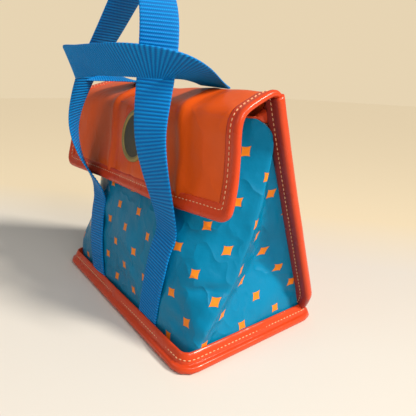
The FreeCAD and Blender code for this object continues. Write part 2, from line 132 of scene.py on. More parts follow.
def grid_faces(rows, columns, start=0, flip=False, wrap_rows=False, wrap_columns=False):
    """Quads of a grid of points that is stored row after row."""
    faces = []
    for i in range(rows if wrap_rows else rows - 1):
        for j in range(columns if wrap_columns else columns - 1):
            a = start + i * columns + j
            b = start + i * columns + (j + 1) % columns
            c = start + ((i + 1) % rows) * columns + (j + 1) % columns
            d = start + ((i + 1) % rows) * columns + j
            faces.append((a, d, c, b) if flip else (a, b, c, d))
    return faces


def shell(outer, inner):
    """Points and faces of a closed sheet between two grids of the same size."""
    rows, columns = outer.shape[:2]
    count = rows * columns
    faces = grid_faces(rows, columns) + grid_faces(rows, columns, count, flip=True)
    border = list(range(columns))
    border += [i * columns + columns - 1 for i in range(1, rows)]
    border += [(rows - 1) * columns + j for j in range(columns - 2, -1, -1)]
    border += [i * columns for i in range(rows - 2, 0, -1)]
    for k, a in enumerate(border):
        b = border[(k + 1) % len(border)]
        faces.append((b, a, a + count, b + count))
    return np.concatenate([outer.reshape(-1, 3), inner.reshape(-1, 3)]), faces


def sweep(path, side, lift, profile, closed=False):
    """Points and faces of a closed profile carried along a path, measured along side and lift."""
    profile = np.asarray(profile, float)
    if profile.ndim == 2:
        profile = np.repeat(profile[None], len(path), axis=0)
    grid = path[:, None] + profile[..., 0:1] * side[:, None] + profile[..., 1:2] * lift[:, None]
    rows, columns = grid.shape[:2]
    faces = grid_faces(rows, columns, wrap_rows=closed, wrap_columns=True)
    if not closed:
        faces.append(tuple(reversed(range(columns))))
        faces.append(tuple((rows - 1) * columns + j for j in range(columns)))
    return grid.reshape(-1, 3), faces


# %% [markdown]
# A bag is thought of in rows: a seam, an edge, a strap. These helpers measure a row of points, space it
# evenly, draw a smooth curve along its marks and soften it, and give a surface its way out and unevenness.

# %% Row helpers


def unit(vectors):
    """Vectors made one long."""
    return vectors / np.maximum(np.linalg.norm(vectors, axis=-1, keepdims=True), 1e-9)


def grid_normals(grid):
    """The way out of a surface whose columns run left to right and whose rows go upwards."""
    return unit(np.cross(np.gradient(grid, axis=1), np.gradient(grid, axis=0)))


def relax(grid, times, amount=0.5):
    """Round a grid's folds: each inner point moves towards the middle of its four neighbours."""
    for _ in range(times):
        middle = (grid[:-2, 1:-1] + grid[2:, 1:-1] + grid[1:-1, :-2] + grid[1:-1, 2:]) / 4
        grid[1:-1, 1:-1] += amount * (middle - grid[1:-1, 1:-1])
    return grid


def soften(run, times):
    """Round the corners of a run of points; its two ends stay."""
    for _ in range(times):
        run[1:-1] += 0.5 * ((run[:-2] + run[2:]) / 2 - run[1:-1])
    return run


def ease(share):
    """A smooth step from 0 to 1."""
    share = np.clip(share, 0, 1)
    return share * share * (3 - 2 * share)


def crumple(points, scale, depth, seed):
    """A soft, fixed unevenness: one number for each point, of about that depth."""
    shift = Vector((seed * 7.1, seed * 3.3, seed * 5.7))
    points = np.asarray(points)
    values = [noise.noise(Vector(p) / scale + shift) for p in points.reshape(-1, 3)]
    return depth * np.array(values).reshape(points.shape[:-1])


def spline(points, count):
    """Evenly spaced points on the smooth curve that a row of control points pulls into shape."""
    points = np.asarray(points, float)
    control = np.concatenate([points[:1], points[:1], points, points[-1:], points[-1:]])
    share = np.linspace(0, 1, 24, endpoint=False)[:, None]
    runs = []
    for k in range(len(control) - 3):
        p, q, r, s = control[k:k + 4]
        runs.append((
            (1 - share) ** 3 * p + (3 * share ** 3 - 6 * share ** 2 + 4) * q
            + (-3 * share ** 3 + 3 * share ** 2 + 3 * share + 1) * r + share ** 3 * s
        ) / 6)
    dense = np.concatenate(runs + [points[-1:]])
    return evenly(dense, count)


def evenly(dense, count):
    """Points spaced evenly along a run of many points."""
    walked = lengths(dense)
    spots = np.linspace(0, walked[-1], count)
    return np.stack([np.interp(spots, walked, dense[:, k]) for k in range(dense.shape[1])], axis=1)


def lengths(points):
    """Distance walked to each point of a run."""
    return np.concatenate([[0], np.cumsum(np.linalg.norm(np.diff(points, axis=0), axis=1))])


# %% [markdown]
# ## Camera
# The camera stands to the right of the front, a little above the bag and close to it, which is why the near
# corner looks so large. It is rolled by about one degree, as a camera held by hand is.

# %% Camera
CAMERA_PLACE = Vector((0.2918, -0.1875, 0.1832))
CAMERA_AIM = Vector((0.04757, 0.0, 0.0884))
CAMERA_ROLL = math.radians(1.32)

camera = add_object("camera", bpy.data.cameras.new("camera"))
bpy.context.scene.camera = camera
camera.location = CAMERA_PLACE
look = CAMERA_AIM - CAMERA_PLACE
camera.rotation_mode = "QUATERNION"
camera.rotation_quaternion = look.to_track_quat("-Z", "Y") @ Quaternion((0, 0, 1), CAMERA_ROLL)
camera.data.sensor_width = 36.0
camera.data.lens = 35.25
camera.data.clip_start = 0.01
print(f"camera {look.length * 1000:.0f} mm from what it looks at")

# %% [markdown]
# ## Finishes
# Materials are written as sums. A Wire stands for one output socket, so an expression on wires adds its
# Math nodes, and every other node comes from one method that sets its settings first and then its sockets.

# %% Shader helpers


class Wire:
    """One output socket; sums and products of wires and numbers add their Math nodes."""

    def __init__(self, finish, socket):
        self.finish = finish
        self.socket = socket

    def math(self, operation, *others, clamp=False):
        """A Math node on this wire and any others."""
        settings = {"operation": operation, "use_clamp": clamp}
        return self.finish.node("ShaderNodeMath", settings, dict(enumerate((self, *others))))

    def __add__(self, other):
        return self.math("ADD", other)

    def __sub__(self, other):
        return self.math("SUBTRACT", other)

    def __rsub__(self, other):
        return self.finish.node("ShaderNodeMath", {"operation": "SUBTRACT"}, {0: other, 1: self})

    def __mul__(self, other):
        return self.math("MULTIPLY", other)

    def __truediv__(self, other):
        return self.math("DIVIDE", other)

    def __pow__(self, other):
        return self.math("POWER", other)

    def __abs__(self):
        return self.math("ABSOLUTE")

    def clamped(self):
        """The same number, held between 0 and 1."""
        return self.math("ADD", 0.0, clamp=True)

    __radd__ = __add__
    __rmul__ = __mul__


# %% [markdown]
# A Finish gathers one material. The fixed values of its shader are set at once, and each method adds one kind
# of pattern: a soft noise, creases, a mix of two colours or a bump.

# %% Finish helper


def socket_name(word):
    """The shader's own name for a socket written as a plain word."""
    return word.replace("_", " ").title().replace("Ior", "IOR")


class Finish:
    """A material under construction, with its shader's fixed values set at once."""

    def __init__(self, name, **fixed):
        self.material = bpy.data.materials.new(name)
        self.material.use_nodes = True
        self.tree = self.material.node_tree
        self.shader = self.tree.nodes["Principled BSDF"]
        for socket, value in fixed.items():
            self.shader.inputs[socket_name(socket)].default_value = value

    def node(self, kind, settings=None, inputs=None, output=0):
        """A node of that type: its settings, then its sockets, then the wire from one output."""
        made = self.tree.nodes.new(kind)
        for word, value in (settings or {}).items():
            setattr(made, word, value)
        for socket, value in (inputs or {}).items():
            self.feed(made.inputs[socket], value)
        return Wire(self, made.outputs[output])

    def feed(self, socket, value):
        """Link a wire to a socket, or set a plain value on it."""
        if isinstance(value, Wire):
            self.tree.links.new(value.socket, socket)
        else:
            socket.default_value = value

    def place(self):
        """Object coordinates, in metres."""
        return self.node("ShaderNodeTexCoord", output="Object")

    def parts(self, vector, count):
        """The first numbers of a vector, as one wire each."""
        return [self.node("ShaderNodeSeparateXYZ", inputs={0: vector}, output=k) for k in range(count)]

    def cloth(self):
        """The two distances along the cloth, in metres, from the piece's own map."""
        return self.parts(self.node("ShaderNodeUVMap", {"uv_map": "cloth"}), 2)

    def cloud(self, scale, detail=2.0, where=None):
        """Soft noise from 0 to 1 whose blotches are that many metres across."""
        inputs = {"Vector": where or self.place(), "Scale": 1 / scale, "Detail": detail}
        return self.node("ShaderNodeTexNoise", inputs=inputs)

    def creases(self, scale, detail=2.0):
        """Thin ridges where a noise crosses its middle, as in sheet that was folded and opened again."""
        return 1 - abs(self.cloud(scale, detail) * 2 - 1)

    def mix(self, factor, first, second):
        """A colour between two, the first at 0."""
        return self.node("ShaderNodeMix", {"data_type": "RGBA"}, {0: factor, 6: first, 7: second}, 2)

    def bump(self, height, distance, strength=1.0, under=None):
        """A bump of that many metres, on top of another if there is one."""
        inputs = {"Height": height, "Distance": distance, "Strength": strength}
        if under is not None:
            inputs["Normal"] = under
        return self.node("ShaderNodeBump", inputs=inputs)

    def done(self, **wires):
        """Feed the shader and give the material."""
        for socket, value in wires.items():
            self.feed(self.shader.inputs[socket_name(socket)], value)
        return self.material


def colour(red, green, blue):
    """A colour as a socket takes it."""
    return (red, green, blue, 1.0)


# %% [markdown]
# The printed sheet is a coated cloth. Its print is a staggered grid of small squares whose sides curve in.
# A square turned on its corner has |x| + |y| below a limit, and powers under 1 pull its sides inwards. The
# print follows the cloth map, so it goes round the folds as it does on the real sheet.

# %% Printed sheet
PRINT_ACROSS = 0.0345
PRINT_UP = 0.0320
PRINT_TILT = math.radians(4.0)
PRINT_SIDE = 0.0064
PRINT_PINCH = 0.78
PRINT_SHARP = 700
THREAD_PITCH = 0.0007

printed = Finish("printed_sheet", ior=1.5, coat_roughness=0.16, specular_ior_level=0.12)
across, up = printed.cloth()
turned_across = (across * math.cos(PRINT_TILT) + up * math.sin(PRINT_TILT)) / PRINT_ACROSS
turned_up = (up * math.cos(PRINT_TILT) - across * math.sin(PRINT_TILT)) / PRINT_UP


def squares(shift_across, shift_up):
    """How far inside a printed square each spot is, for one of the two grids."""
    x = abs((turned_across + shift_across).math("FRACT") - 0.5) * PRINT_ACROSS
    y = abs((turned_up + shift_up).math("FRACT") - 0.5) * PRINT_UP
    reach = (x + y) ** PRINT_PINCH + abs(x - y) ** PRINT_PINCH
    return PRINT_SIDE ** PRINT_PINCH - reach


nearest = squares(0.2, 0.35).math("MAXIMUM", squares(0.7, 0.85))
square_mask = (nearest * PRINT_SHARP + 0.5).clamped()
edge_mask = (nearest * (PRINT_SHARP / 2) + 1.1).clamped()
shade = printed.cloud(0.045, 3)
blue = printed.mix(shade, colour(0.0, 0.15, 0.29), colour(0.0, 0.22, 0.42))
dark_edge = printed.mix(edge_mask * 0.55, blue, colour(0.0, 0.05, 0.11))
orange_print = printed.mix(printed.cloud(0.006), colour(0.93, 0.27, 0.02), colour(0.80, 0.20, 0.015))
thread_rate = 2 * math.pi / THREAD_PITCH
threads = (across * thread_rate).math("SINE") * (up * thread_rate).math("SINE")
weave = printed.bump(threads, 0.00004, 0.5)
ripples = printed.bump(printed.cloud(0.014, 3), 0.0016, 0.5, weave)
folds = printed.bump(printed.creases(0.03) ** 6, 0.0012, 0.7, ripples)
printed_sheet = printed.done(
    base_color=printed.mix(square_mask, dark_edge, orange_print),
    roughness=0.3 + 0.16 * printed.cloud(0.02),
    coat_weight=0.02 + 0.08 * printed.cloud(0.03),
    normal=folds,
)
print("printed sheet:", len(printed.tree.nodes), "nodes")

# %% [markdown]
# The vinyl is smooth and glossy with a fine grain. The same recipe makes three finishes: the back and flap,
# the redder binding tape, and the side tape, whose flat leaf carries painted shade that makes it darker than
# its outer edge. The painted shade is placed by position: inside the outer edge, and ahead of the back's
# sloping face.

# %% Vinyl
LEAF_EDGE = 0.1148
LEAF_SHARP = 1000
LEAF_PAINTED_SHADE = 0.85
GRAIN = 0.0009


def vinyl(name, light, dark, gloss, leaf_shade_colour=None):
    """A coated vinyl with a fine grain, soft blotches and a clear gloss; the last colour, if given, is
    painted shade on a side tape's leaf.
    """
    made = Finish(name, ior=1.45, coat_roughness=0.12, specular_ior_level=0.25)
    grain = made.node("ShaderNodeTexVoronoi", inputs={"Vector": made.place(), "Scale": 1 / GRAIN})
    fine = made.bump(grain, 0.00005, 0.35)
    soft = made.bump(made.cloud(0.018, 3), 0.0014, 0.4, fine)
    folded = made.bump(made.creases(0.04) ** 7, 0.0008, 0.4, soft)
    tone = made.mix(made.cloud(0.05, 4), light, dark)
    if leaf_shade_colour is not None:
        # Painted shade: the side tape's flat leaf, inside the outer edge and ahead of the back's face, is
        # darkened towards the given colour.
        side, depth, rise = made.parts(made.place(), 3)
        ahead = ((half_depth * MM - rise * BACK_SLOPE - depth) * LEAF_SHARP).clamped()
        inward = ((LEAF_EDGE - abs(side)) * LEAF_SHARP).clamped()
        tone = made.mix(inward * ahead * LEAF_PAINTED_SHADE, tone, leaf_shade_colour)
    return made.done(
        base_color=tone,
        roughness=gloss + 0.14 * made.cloud(0.025, 3),
        coat_weight=0.05 + 0.2 * made.cloud(0.04),
        normal=folded,
    )


orange_vinyl = vinyl("orange_vinyl", colour(0.78, 0.105, 0.006), colour(0.66, 0.075, 0.006), 0.3)
TAPE_TONES = (colour(0.66, 0.062, 0.012), colour(0.52, 0.045, 0.012), 0.2)
orange_tape = vinyl("orange_tape", *TAPE_TONES)
# The side tape's finish carries painted shade on its flat leaf.
leaf_shaded_tape = vinyl("side_tape", *TAPE_TONES, colour(0.30, 0.04, 0.035))
print("vinyl and tape made")

# %% [markdown]
# Webbing is woven: ribs cross the band, and each rib is a row of short slanted yarns. The ribs are real
# geometry, so the finish only adds the yarns and painted shade on the floor between ribs.

# %% Webbing finish
RIB_PITCH = 2.4
YARN_PITCH = 0.00125

web = Finish("webbing", specular_ior_level=0.15)
along, width_way = web.cloth()
rib = (along * (2 * math.pi / (RIB_PITCH * MM))).math("COSINE") * 0.5 + 0.5
yarn = ((width_way + along * 0.5) * (2 * math.pi / YARN_PITCH)).math("SINE") * 0.5 + 0.5
crown = web.mix(web.cloud(0.03), colour(0.0, 0.23, 0.62), colour(0.0, 0.29, 0.72))
# Painted shade: the floor between ribs is darker, and more weakly the grooves between yarns.
blue_with_painted_rib_shade = web.mix(rib * 0.8 + yarn * 0.2, colour(0.0, 0.10, 0.36), crown)
webbing = web.done(
    base_color=blue_with_painted_rib_shade,
    roughness=0.42 + 0.16 * yarn,
    normal=web.bump(yarn * (0.4 + 0.6 * rib), 0.00022, 0.8),
)
print("webbing:", len(web.tree.nodes), "nodes")

# %% [markdown]
# The rest of the finishes are hidden until the bag is opened or turned over: a heat-reflecting film, sheet
# foam, board and the tape of the closure. The badge is a moulded disc, and the thread is pale.

# %% Lesser finishes


def plain(name, light, dark, blotch, roughness, depth, **fixed):
    """A two-tone finish with an even, fine unevenness."""
    made = Finish(name, **fixed)
    tone = made.cloud(blotch, 4)
    return made.done(
        base_color=made.mix(tone, light, dark),
        roughness=roughness + 0.12 * made.cloud(blotch * 2),
        normal=made.bump(made.cloud(blotch / 3, 3), depth, 0.6),
    )


film = plain(
    "liner_film", colour(0.66, 0.67, 0.69), colour(0.50, 0.51, 0.53), 0.012, 0.26, 0.0012, metallic=0.55
)
foam = plain("foam", colour(0.80, 0.80, 0.76), colour(0.70, 0.70, 0.66), 0.002, 0.85, 0.0002)
board = plain("board", colour(0.42, 0.30, 0.18), colour(0.33, 0.23, 0.13), 0.004, 0.85, 0.0001)
hook_tape = plain("hook_tape", colour(0.004, 0.03, 0.10), colour(0.002, 0.02, 0.07), 0.002, 0.6, 0.0002)
brass_olive = plain(
    "badge", colour(0.36, 0.27, 0.07), colour(0.25, 0.18, 0.045), 0.004, 0.34, 0.0001, metallic=0.25
)
dark_olive = plain(
    "badge_field", colour(0.075, 0.062, 0.022), colour(0.045, 0.038, 0.015), 0.004, 0.45, 0.0001
)
thread = plain("thread", colour(0.80, 0.45, 0.24), colour(0.68, 0.34, 0.17), 0.0008, 0.6, 0.00005)
lesser = (film, foam, board, hook_tape, brass_olive, dark_olive, thread)
print("lesser finishes:", [finish.name for finish in lesser])

# %% [markdown]
# ## Printed wrap
# One sheet goes from the back seam round a gusset, across the front and round the other gusset. At every
# level its section passes a few marks: the front, a soft corner, the crease that juts out, the two lines of
# the inward fold, and the seam at the back. The marks are lines from the base to the mouth, so the folds
# run along columns of the grid and stay crisp, and a little relaxing rounds them as foam does.

# %% Wrap marks
LEVELS = (0, 0.06, 0.15, 0.25, 0.34, 0.45, 0.55, 0.66, 0.77, 0.86, 0.93, 1)
CREASE = (
    (104.2, -48, 1.5), (105.5, -48.5, 11), (108, -44, 26), (109, -32.5, 41), (109.3, -22, 56.5),
    (109.3, -13.5, 75), (109, -7.2, 92), (108.8, -2.2, 110), (108.8, 2.7, 128), (109, 6.8, 145.5),
    (106.5, 5.2, 156.5), (98, -3, 162.5),
)
FOLD_FRONT = (
    (104.4, -44, 1.5), (104, -37, 11), (102.5, -24, 25.7), (97.5, -7, 42), (91.5, 10.5, 56), (95, 9.5, 75),
    (99, 8.6, 92), (100, 8.4, 110), (101, 8.4, 128), (102.2, 8.2, 143), (101.5, 5.8, 155), (98.5, -1, 162),
)
FOLD_BACK = (
    (104.3, 52, 1.5), (104, 48, 11), (102.5, 39.5, 25.7), (97.5, 27.5, 42), (91.5, 14, 56), (95.1, 13.2, 75),
    (99.2, 12.2, 92), (100.2, 11.4, 110), (101.3, 10.8, 128), (102.4, 9.8, 143), (102, 7.2, 156),
    (100, 1.6, 164),
)
FOOT_INSET = 3.0
FOOT_HEIGHT = 1.5
FOOT_FADE = 34
STANCE_SKEW = 0.026
STANCE_TOP = 110
STANCE_DEPTH = 40
CORNER_HEIGHT = 45
SEAM_SIDE = 3.2
SEAM_BEHIND = 3.0
FOLD_ROUNDING = 5
WRAP_ROWS = 86
FLAT_HALF = 36.0
SEGMENTS = (16, 32, 16, 12, 16)


def front_y(z):
    """Depth of the front wall at a height; its foot stands in a little, inside the base binding."""
    return -half_depth + FRONT_SLOPE * z + FOOT_INSET * (1 - ease(z / FOOT_FADE))


def back_y(z, inside=0.0):
    """Depth of the back at a height."""
    return half_depth - BACK_SLOPE * z - inside


def mark_line(table, rows):
    """A mark's line from base to mouth at every row, with its corners softened."""
    share = np.linspace(0, 1, rows)
    line = np.stack([np.interp(share, LEVELS, column) for column in np.array(table, float).T], axis=1)
    return soften(line, FOLD_ROUNDING)


def stance(points):
    """The slight skew of the standing bag: at its foot the front comes forward on the right."""
    moved = np.array(points, float)
    x, y, z = moved[..., 0], moved[..., 1], moved[..., 2]
    moved[..., 1] = y - STANCE_SKEW * x * (1 - ease(z / STANCE_TOP)) * ease(-y / STANCE_DEPTH)
    return moved


# %% [markdown]
# The section is filled in from mark to mark. The soft corner is a curve that leaves the front straight and
# meets the crease. Only the right half is drawn and the left one mirrors it. The skew comes last, because
# the bag doesn't stand quite square.

# %% Wrap grid
share = np.linspace(0, 1, WRAP_ROWS)
height = FOOT_HEIGHT + (RIM_HEIGHT - FOOT_HEIGHT) * share
corner_x = half_width - FOOT_INSET - (half_width - FOOT_INSET - RIM_HALF) * share
flat_mark = np.stack([np.full(WRAP_ROWS, FLAT_HALF), front_y(height), height], axis=1)
middle_mark = flat_mark * (0, 1, 1)
corner_mark = np.stack([corner_x, front_y(height), height], axis=1)
crease_mark, fold_front, fold_back = (mark_line(t, WRAP_ROWS) for t in (CREASE, FOLD_FRONT, FOLD_BACK))
seam_x = np.full(WRAP_ROWS, half_width - SEAM_SIDE)
seam_mark = np.stack([seam_x, back_y(height, SEAM_BEHIND), height + share], axis=1)


def between(first, second, count):
    """Columns from one mark to the next, without the last one."""
    steps = np.linspace(0, 1, count, endpoint=False)[None, :, None]
    return first[:, None] * (1 - steps) + second[:, None] * steps


bend = np.linspace(0, 1, SEGMENTS[1], endpoint=False)[None, :, None]
pull = 1 - 0.2 * ease(height / CORNER_HEIGHT)[:, None]
grip = 0.9 - 0.3 * ease(height / CORNER_HEIGHT)[:, None]
soft_corner = (
    (1 - bend) ** 3 * flat_mark[:, None]
    + 3 * bend * (1 - bend) ** 2 * (flat_mark * (1 - pull) + corner_mark * pull)[:, None]
    + 3 * bend ** 2 * (1 - bend) * (corner_mark * grip + crease_mark * (1 - grip))[:, None]
    + bend ** 3 * crease_mark[:, None]
)
right_half = np.concatenate([
    between(middle_mark, flat_mark, SEGMENTS[0]),
    soft_corner,
    between(crease_mark, fold_front, SEGMENTS[2]),
    between(fold_front, fold_back, SEGMENTS[3]),
    between(fold_back, seam_mark, SEGMENTS[4]),
    seam_mark[:, None],
], axis=1)
left_half = right_half[:, :0:-1] * (-1, 1, 1)
wrap = relax(np.concatenate([left_half, right_half], axis=1), FOLD_ROUNDING)
wrap = stance(wrap)
print("wrap grid", wrap.shape[:2])

# %% [markdown]
# A sheet that has been used is never flat. It swells a little between its seams, and it has dents: soft
# hollows, and a few pinched folds near the crease. Each dent is a place, a direction, a length, a width and
# a depth, and the rest is a fixed noise. The outline seams stay where they are sewn.

# %% Wrap dents
BELLY_DEPTH = 3.2
BELLY_HEIGHT = 58
BELLY_SPREAD = 34
FREE_HEIGHT = 118
DENTS = (
    ((99, -37, 50), (0.7, 0.7, 0.05), 13, 3.6, 3.4),
    ((97, -41, 57), (0.75, 0.65, 0.1), 15, 7, -1.6),
    ((90, -54, 24), (1, 0.15, -0.2), 15, 5, 2.2),
    ((86, -52, 37), (0.8, 0.1, -0.55), 12, 4, 1.8),
    ((78, -49, 62), (0.6, 0.2, 0.75), 14, 7, 1.6),
    ((20, -52, 44), (0.93, 0, -0.36), 18, 3.5, 1.9),
    ((-4, -54, 26), (0.95, 0, 0.25), 14, 4, 1.6),
    ((34, -50, 72), (0.5, 0, 0.86), 16, 8, 1.5),
    ((-30, -50, 66), (0.85, 0, 0.5), 18, 7, 1.7),
    ((-84, -54, 24), (0.9, 0, 0.4), 14, 4, 2.2),
    ((-92, -50, 42), (0.7, 0.3, -0.6), 14, 4, 2.0),
    ((-78, -46, 80), (0.5, 0.1, 0.85), 16, 8, 1.8),
    ((102, 28, 86), (0, -0.3, 0.95), 22, 5, 1.8),
    ((102, 22, 112), (0, 0.5, 0.86), 12, 3.5, 1.2),
    ((103, 42, 26), (0, 0.9, -0.35), 10, 3, 1.6),
    ((-102, 26, 90), (0, -0.3, 0.95), 22, 5, 1.8),
    ((-103, 40, 30), (0, 0.9, -0.35), 10, 3, 1.6),
    ((103.5, 4, 20), (0, 0.95, 0.2), 26, 12, -2.4),
    ((-103.5, 4, 20), (0, 0.95, 0.2), 26, 12, -2.4),
    ((106, -18, 84), (0, 0.3, 0.95), 20, 5, 1.0),
)


def dents(points, table):
    """How far in each point is pressed by a table of dents; a negative depth swells."""
    pressed = np.zeros(points.shape[:-1])
    for centre, way, long, wide, depth in table:
        away = points - np.array(centre, float)
        run = away @ unit(np.array(way, float))
        aside = np.sqrt(np.maximum((away ** 2).sum(-1) - run ** 2, 0))
        pressed += depth * np.exp(-(run / long) ** 2 - (aside / wide) ** 2)
    return pressed


rows, columns = wrap.shape[:2]
level = np.linspace(0, 1, rows)[:, None]
sideways = np.linspace(0, 1, columns)[None]
held = ease(level / 0.1) * ease((1 - level) / 0.08) * ease(sideways / 0.03) * ease((1 - sideways) / 0.03)
swell = np.exp(-((wrap[..., 2] - BELLY_HEIGHT) / BELLY_SPREAD) ** 2)
belly = BELLY_DEPTH * swell * ease((-wrap[..., 1] - 20) / 25)
free = ease((FREE_HEIGHT - wrap[..., 2]) / 14) * 0.8 + 0.2
out = grid_normals(wrap)
move = belly - dents(wrap, DENTS) + crumple(wrap, 40, 2.0, 1) + crumple(wrap, 17, 0.95, 2)
wrap = wrap + out * (move * held * free)[..., None]
wrap_out = grid_normals(wrap)

cloth_across = np.array([lengths(row) for row in wrap])
cloth_across -= cloth_across[:, columns // 2:columns // 2 + 1]
cloth_up = np.repeat(lengths(wrap[:, columns // 2])[:, None], columns, axis=1)
wrap_map = np.stack([cloth_across, cloth_up], axis=-1).reshape(-1, 2)
print(f"sheet {np.ptp(cloth_across):.0f} mm round, {cloth_up.max():.0f} mm up")

# %% [markdown]
# The wall has three layers: the printed sheet, foam, and a heat-reflecting film inside. Each is the same grid
# pushed in by its depth. A tight fold would push a layer out through the other side, so every point is
# pressed back under the nearest face, and the layers are thinner where the gusset's crease is pinched.

# %% Wrap layers
SHEET_DEPTHS = (0.0, 0.9)
FOAM_DEPTHS = (1.0, 3.8)
LINER_DEPTHS = (3.95, 4.4)
CREASE_SPREAD = 13

wall_tree = BVHTree.FromPolygons([tuple(p) for p in wrap.reshape(-1, 3)], grid_faces(rows, columns))
from_crease = abs(np.arange(columns) - columns // 2) - SEGMENTS[0] - SEGMENTS[1]
at_crease = np.exp(-(from_crease / CREASE_SPREAD) ** 2)
pinched = 1 - 0.75 * at_crease * ease((wrap[..., 2] - 112) / 24)


def under(depth, smoother):
    """The wrap's grid at a depth under its face; where a fold would push it out, it is pressed back under."""
    deep = depth * pinched
    grid = relax(wrap - wrap_out * deep[..., None], smoother).reshape(-1, 3)
    for k, (point, least) in enumerate(zip(grid, deep.flat)):
        near, way, _, _ = wall_tree.find_nearest(Vector(point))
        if (Vector(point) - near).dot(way) > -least:
            grid[k] = near - way * least
    grid[:, 1] = np.minimum(grid[:, 1], back_y(grid[:, 2], SEAM_BEHIND))
    return grid.reshape(rows, columns, 3)


def wrap_layer(name, top, bottom, material, smoother=0):
    """One layer of the walls between two depths under the printed face."""
    points, faces = shell(under(top, smoother) if top else wrap, under(bottom, smoother))
    return new_piece(name, points, faces, material, np.concatenate([wrap_map, wrap_map]))


wrap_sheet = wrap_layer("wrap_sheet", *SHEET_DEPTHS, printed_sheet)
wall_foam = wrap_layer("wall_foam", *FOAM_DEPTHS, foam, 2)
wall_liner = wrap_layer("wall_liner", *LINER_DEPTHS, film, 3)
for piece, node, slot in (
    (wrap_sheet, "outer_wrap", "printed_sheet"),
    (wall_foam, "foam_wrap", "foam"),
    (wall_liner, "liner_wrap", "liner"),
):
    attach(piece, "bag")
    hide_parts(node)
print("wall layers:", [len(piece.data.polygons) for piece in (wrap_sheet, wall_foam, wall_liner)], "faces")

# %% [markdown]
# ## Back and flap
# One sheet of vinyl climbs the back, turns over the ridge and hangs down the front as the flap. Its section
# is drawn three times, at the left end, the middle and the right end, because the flap hangs a little
# askew: it lies close to the mouth on the right and stands away from it on the left.

# %% Vinyl sheet
BACK_PATH = ((57.4, 1.5), (56.8, 9), (46.0, 42), (32.2, 84), (18.2, 127), (8.0, 159), (4.6, 171))
FLAP_MIDDLE = (
    (3.2, 178.6), (0.2, 181), (-6, 179.6), (-14, 176.4), (-22, 173.4), (-31, 170.6), (-37.2, 163.4),
    (-39, 152), (-41.2, 137), (-44.2, 120), (-47.2, 103.5),
)
FLAP_RIGHT = (
    (2.8, 177.4), (0.2, 179.8), (-5.5, 178.2), (-13, 174.8), (-21, 171.2), (-29, 166.8), (-31, 159.5),
    (-31, 148), (-32, 132), (-34.8, 117), (-38.6, 104),
)
FLAP_LEFT = (
    (3.4, 180.2), (0.4, 183), (-6, 182), (-14, 179.6), (-23, 177), (-33.5, 174), (-40, 165.5),
    (-42.6, 152), (-46, 137), (-50.4, 121), (-55, 105.5),
)
SHEET_HALF = flap_half - 2.2
CORNER_ROUND = 6.0
FLAP_SHEAR = 4.0
LEVEL_HALF = 30
SWAY_RUN = 84
FOOT_DRAW = 8.5
SHEET_ROWS = 118
SHEET_COLUMNS = 88

middle, right, left = (spline(BACK_PATH + end, SHEET_ROWS) for end in (FLAP_MIDDLE, FLAP_RIGHT, FLAP_LEFT))
walked = lengths(middle)
ridge_row = int(np.argmax(middle[:, 1]))
to_edge = walked[-1] - walked
flap_share = np.clip((walked - walked[ridge_row]) / (walked[-1] - walked[ridge_row]), 0, 1)
foot = np.where(np.arange(SHEET_ROWS) < ridge_row, FOOT_DRAW * (1 - ease((middle[:, 1] - 5) / 24)), 0)
inset = CORNER_ROUND - np.sqrt(CORNER_ROUND ** 2 - np.clip(CORNER_ROUND - to_edge, 0, CORNER_ROUND) ** 2)
sheet_x = np.linspace(-1, 1, SHEET_COLUMNS)[None] * (SHEET_HALF - foot - inset)[:, None]
to_right = ease((sheet_x - LEVEL_HALF) / SWAY_RUN)[..., None]
to_left = ease((-sheet_x - LEVEL_HALF) / SWAY_RUN)[..., None]
section = middle[:, None] + to_right * (right - middle)[:, None] + to_left * (left - middle)[:, None]
vinyl_grid = np.concatenate([(sheet_x + FLAP_SHEAR * flap_share[:, None] ** 1.5)[..., None], section], axis=2)
print("vinyl grid", vinyl_grid.shape[:2], f"flap {to_edge[ridge_row]:.0f} mm from ridge to edge")

# %% [markdown]
# The flap keeps two soft folds from its packing and a shallow hollow between the handle's feet. The folds are
# low ridges with a hollow beside them that run a little askew, and the hems hold the edges straighter.

# %% Vinyl folds
FLAP_FOLDS = ((-43, -33, 1.7), (57, 66, 1.5), (8, 2, -0.8))
FOLD_HALF = 3.5
HOLLOW_ASIDE = 9
HOLLOW_HALF = 7
SEAT_REACH = 27
FAR_OFF = 100
HEM_HOLDS = 12
BACK_CALM = 0.55


def flap_folds(x, share):
    """Height of the folds in the flap at a place across it and a share of the way down."""
    raised = np.zeros_like(x)
    for top, bottom, tall in FLAP_FOLDS:
        aside = x - (top + (bottom - top) * share)
        beside = np.exp(-((aside - HOLLOW_ASIDE) / HOLLOW_HALF) ** 2)
        raised += tall * (np.exp(-(aside / FOLD_HALF) ** 2) - 0.7 * beside)
    return raised * ease(share / 0.1)


vinyl_out = -grid_normals(vinyl_grid)
badge_x, _, badge_z = (badge_low + badge_high) / 2
round_badge = np.hypot(vinyl_grid[..., 0] - badge_x, vinyl_grid[..., 2] - badge_z)
round_badge[:ridge_row] = FAR_OFF
flat_seat = 1 - 0.9 * np.exp(-(round_badge / SEAT_REACH) ** 4)
from_hem = np.minimum(SHEET_HALF - abs(sheet_x), to_edge[:, None])
near_edge = flat_seat * ease(from_hem / HEM_HOLDS) * 0.85 + 0.15
raised = flap_folds(sheet_x, flap_share[:, None])
raised = raised + crumple(vinyl_grid, 46, 2.2, 3) + crumple(vinyl_grid, 18, 0.6, 4)
hollow = np.exp(-((sheet_x - 4) / 30) ** 2 - ((walked - walked[ridge_row]) / 14)[:, None] ** 2)
calm = np.where(np.arange(SHEET_ROWS)[:, None] < ridge_row - 4, BACK_CALM, 1.0)
vinyl_grid = vinyl_grid + vinyl_out * (raised * near_edge * calm - 1.2 * hollow)[..., None]
vinyl_out = -grid_normals(vinyl_grid)
vinyl_map = np.stack([sheet_x, np.repeat(walked[:, None], SHEET_COLUMNS, axis=1)], axis=-1).reshape(-1, 2)
print(f"folds up to {raised.max():.1f} mm high")
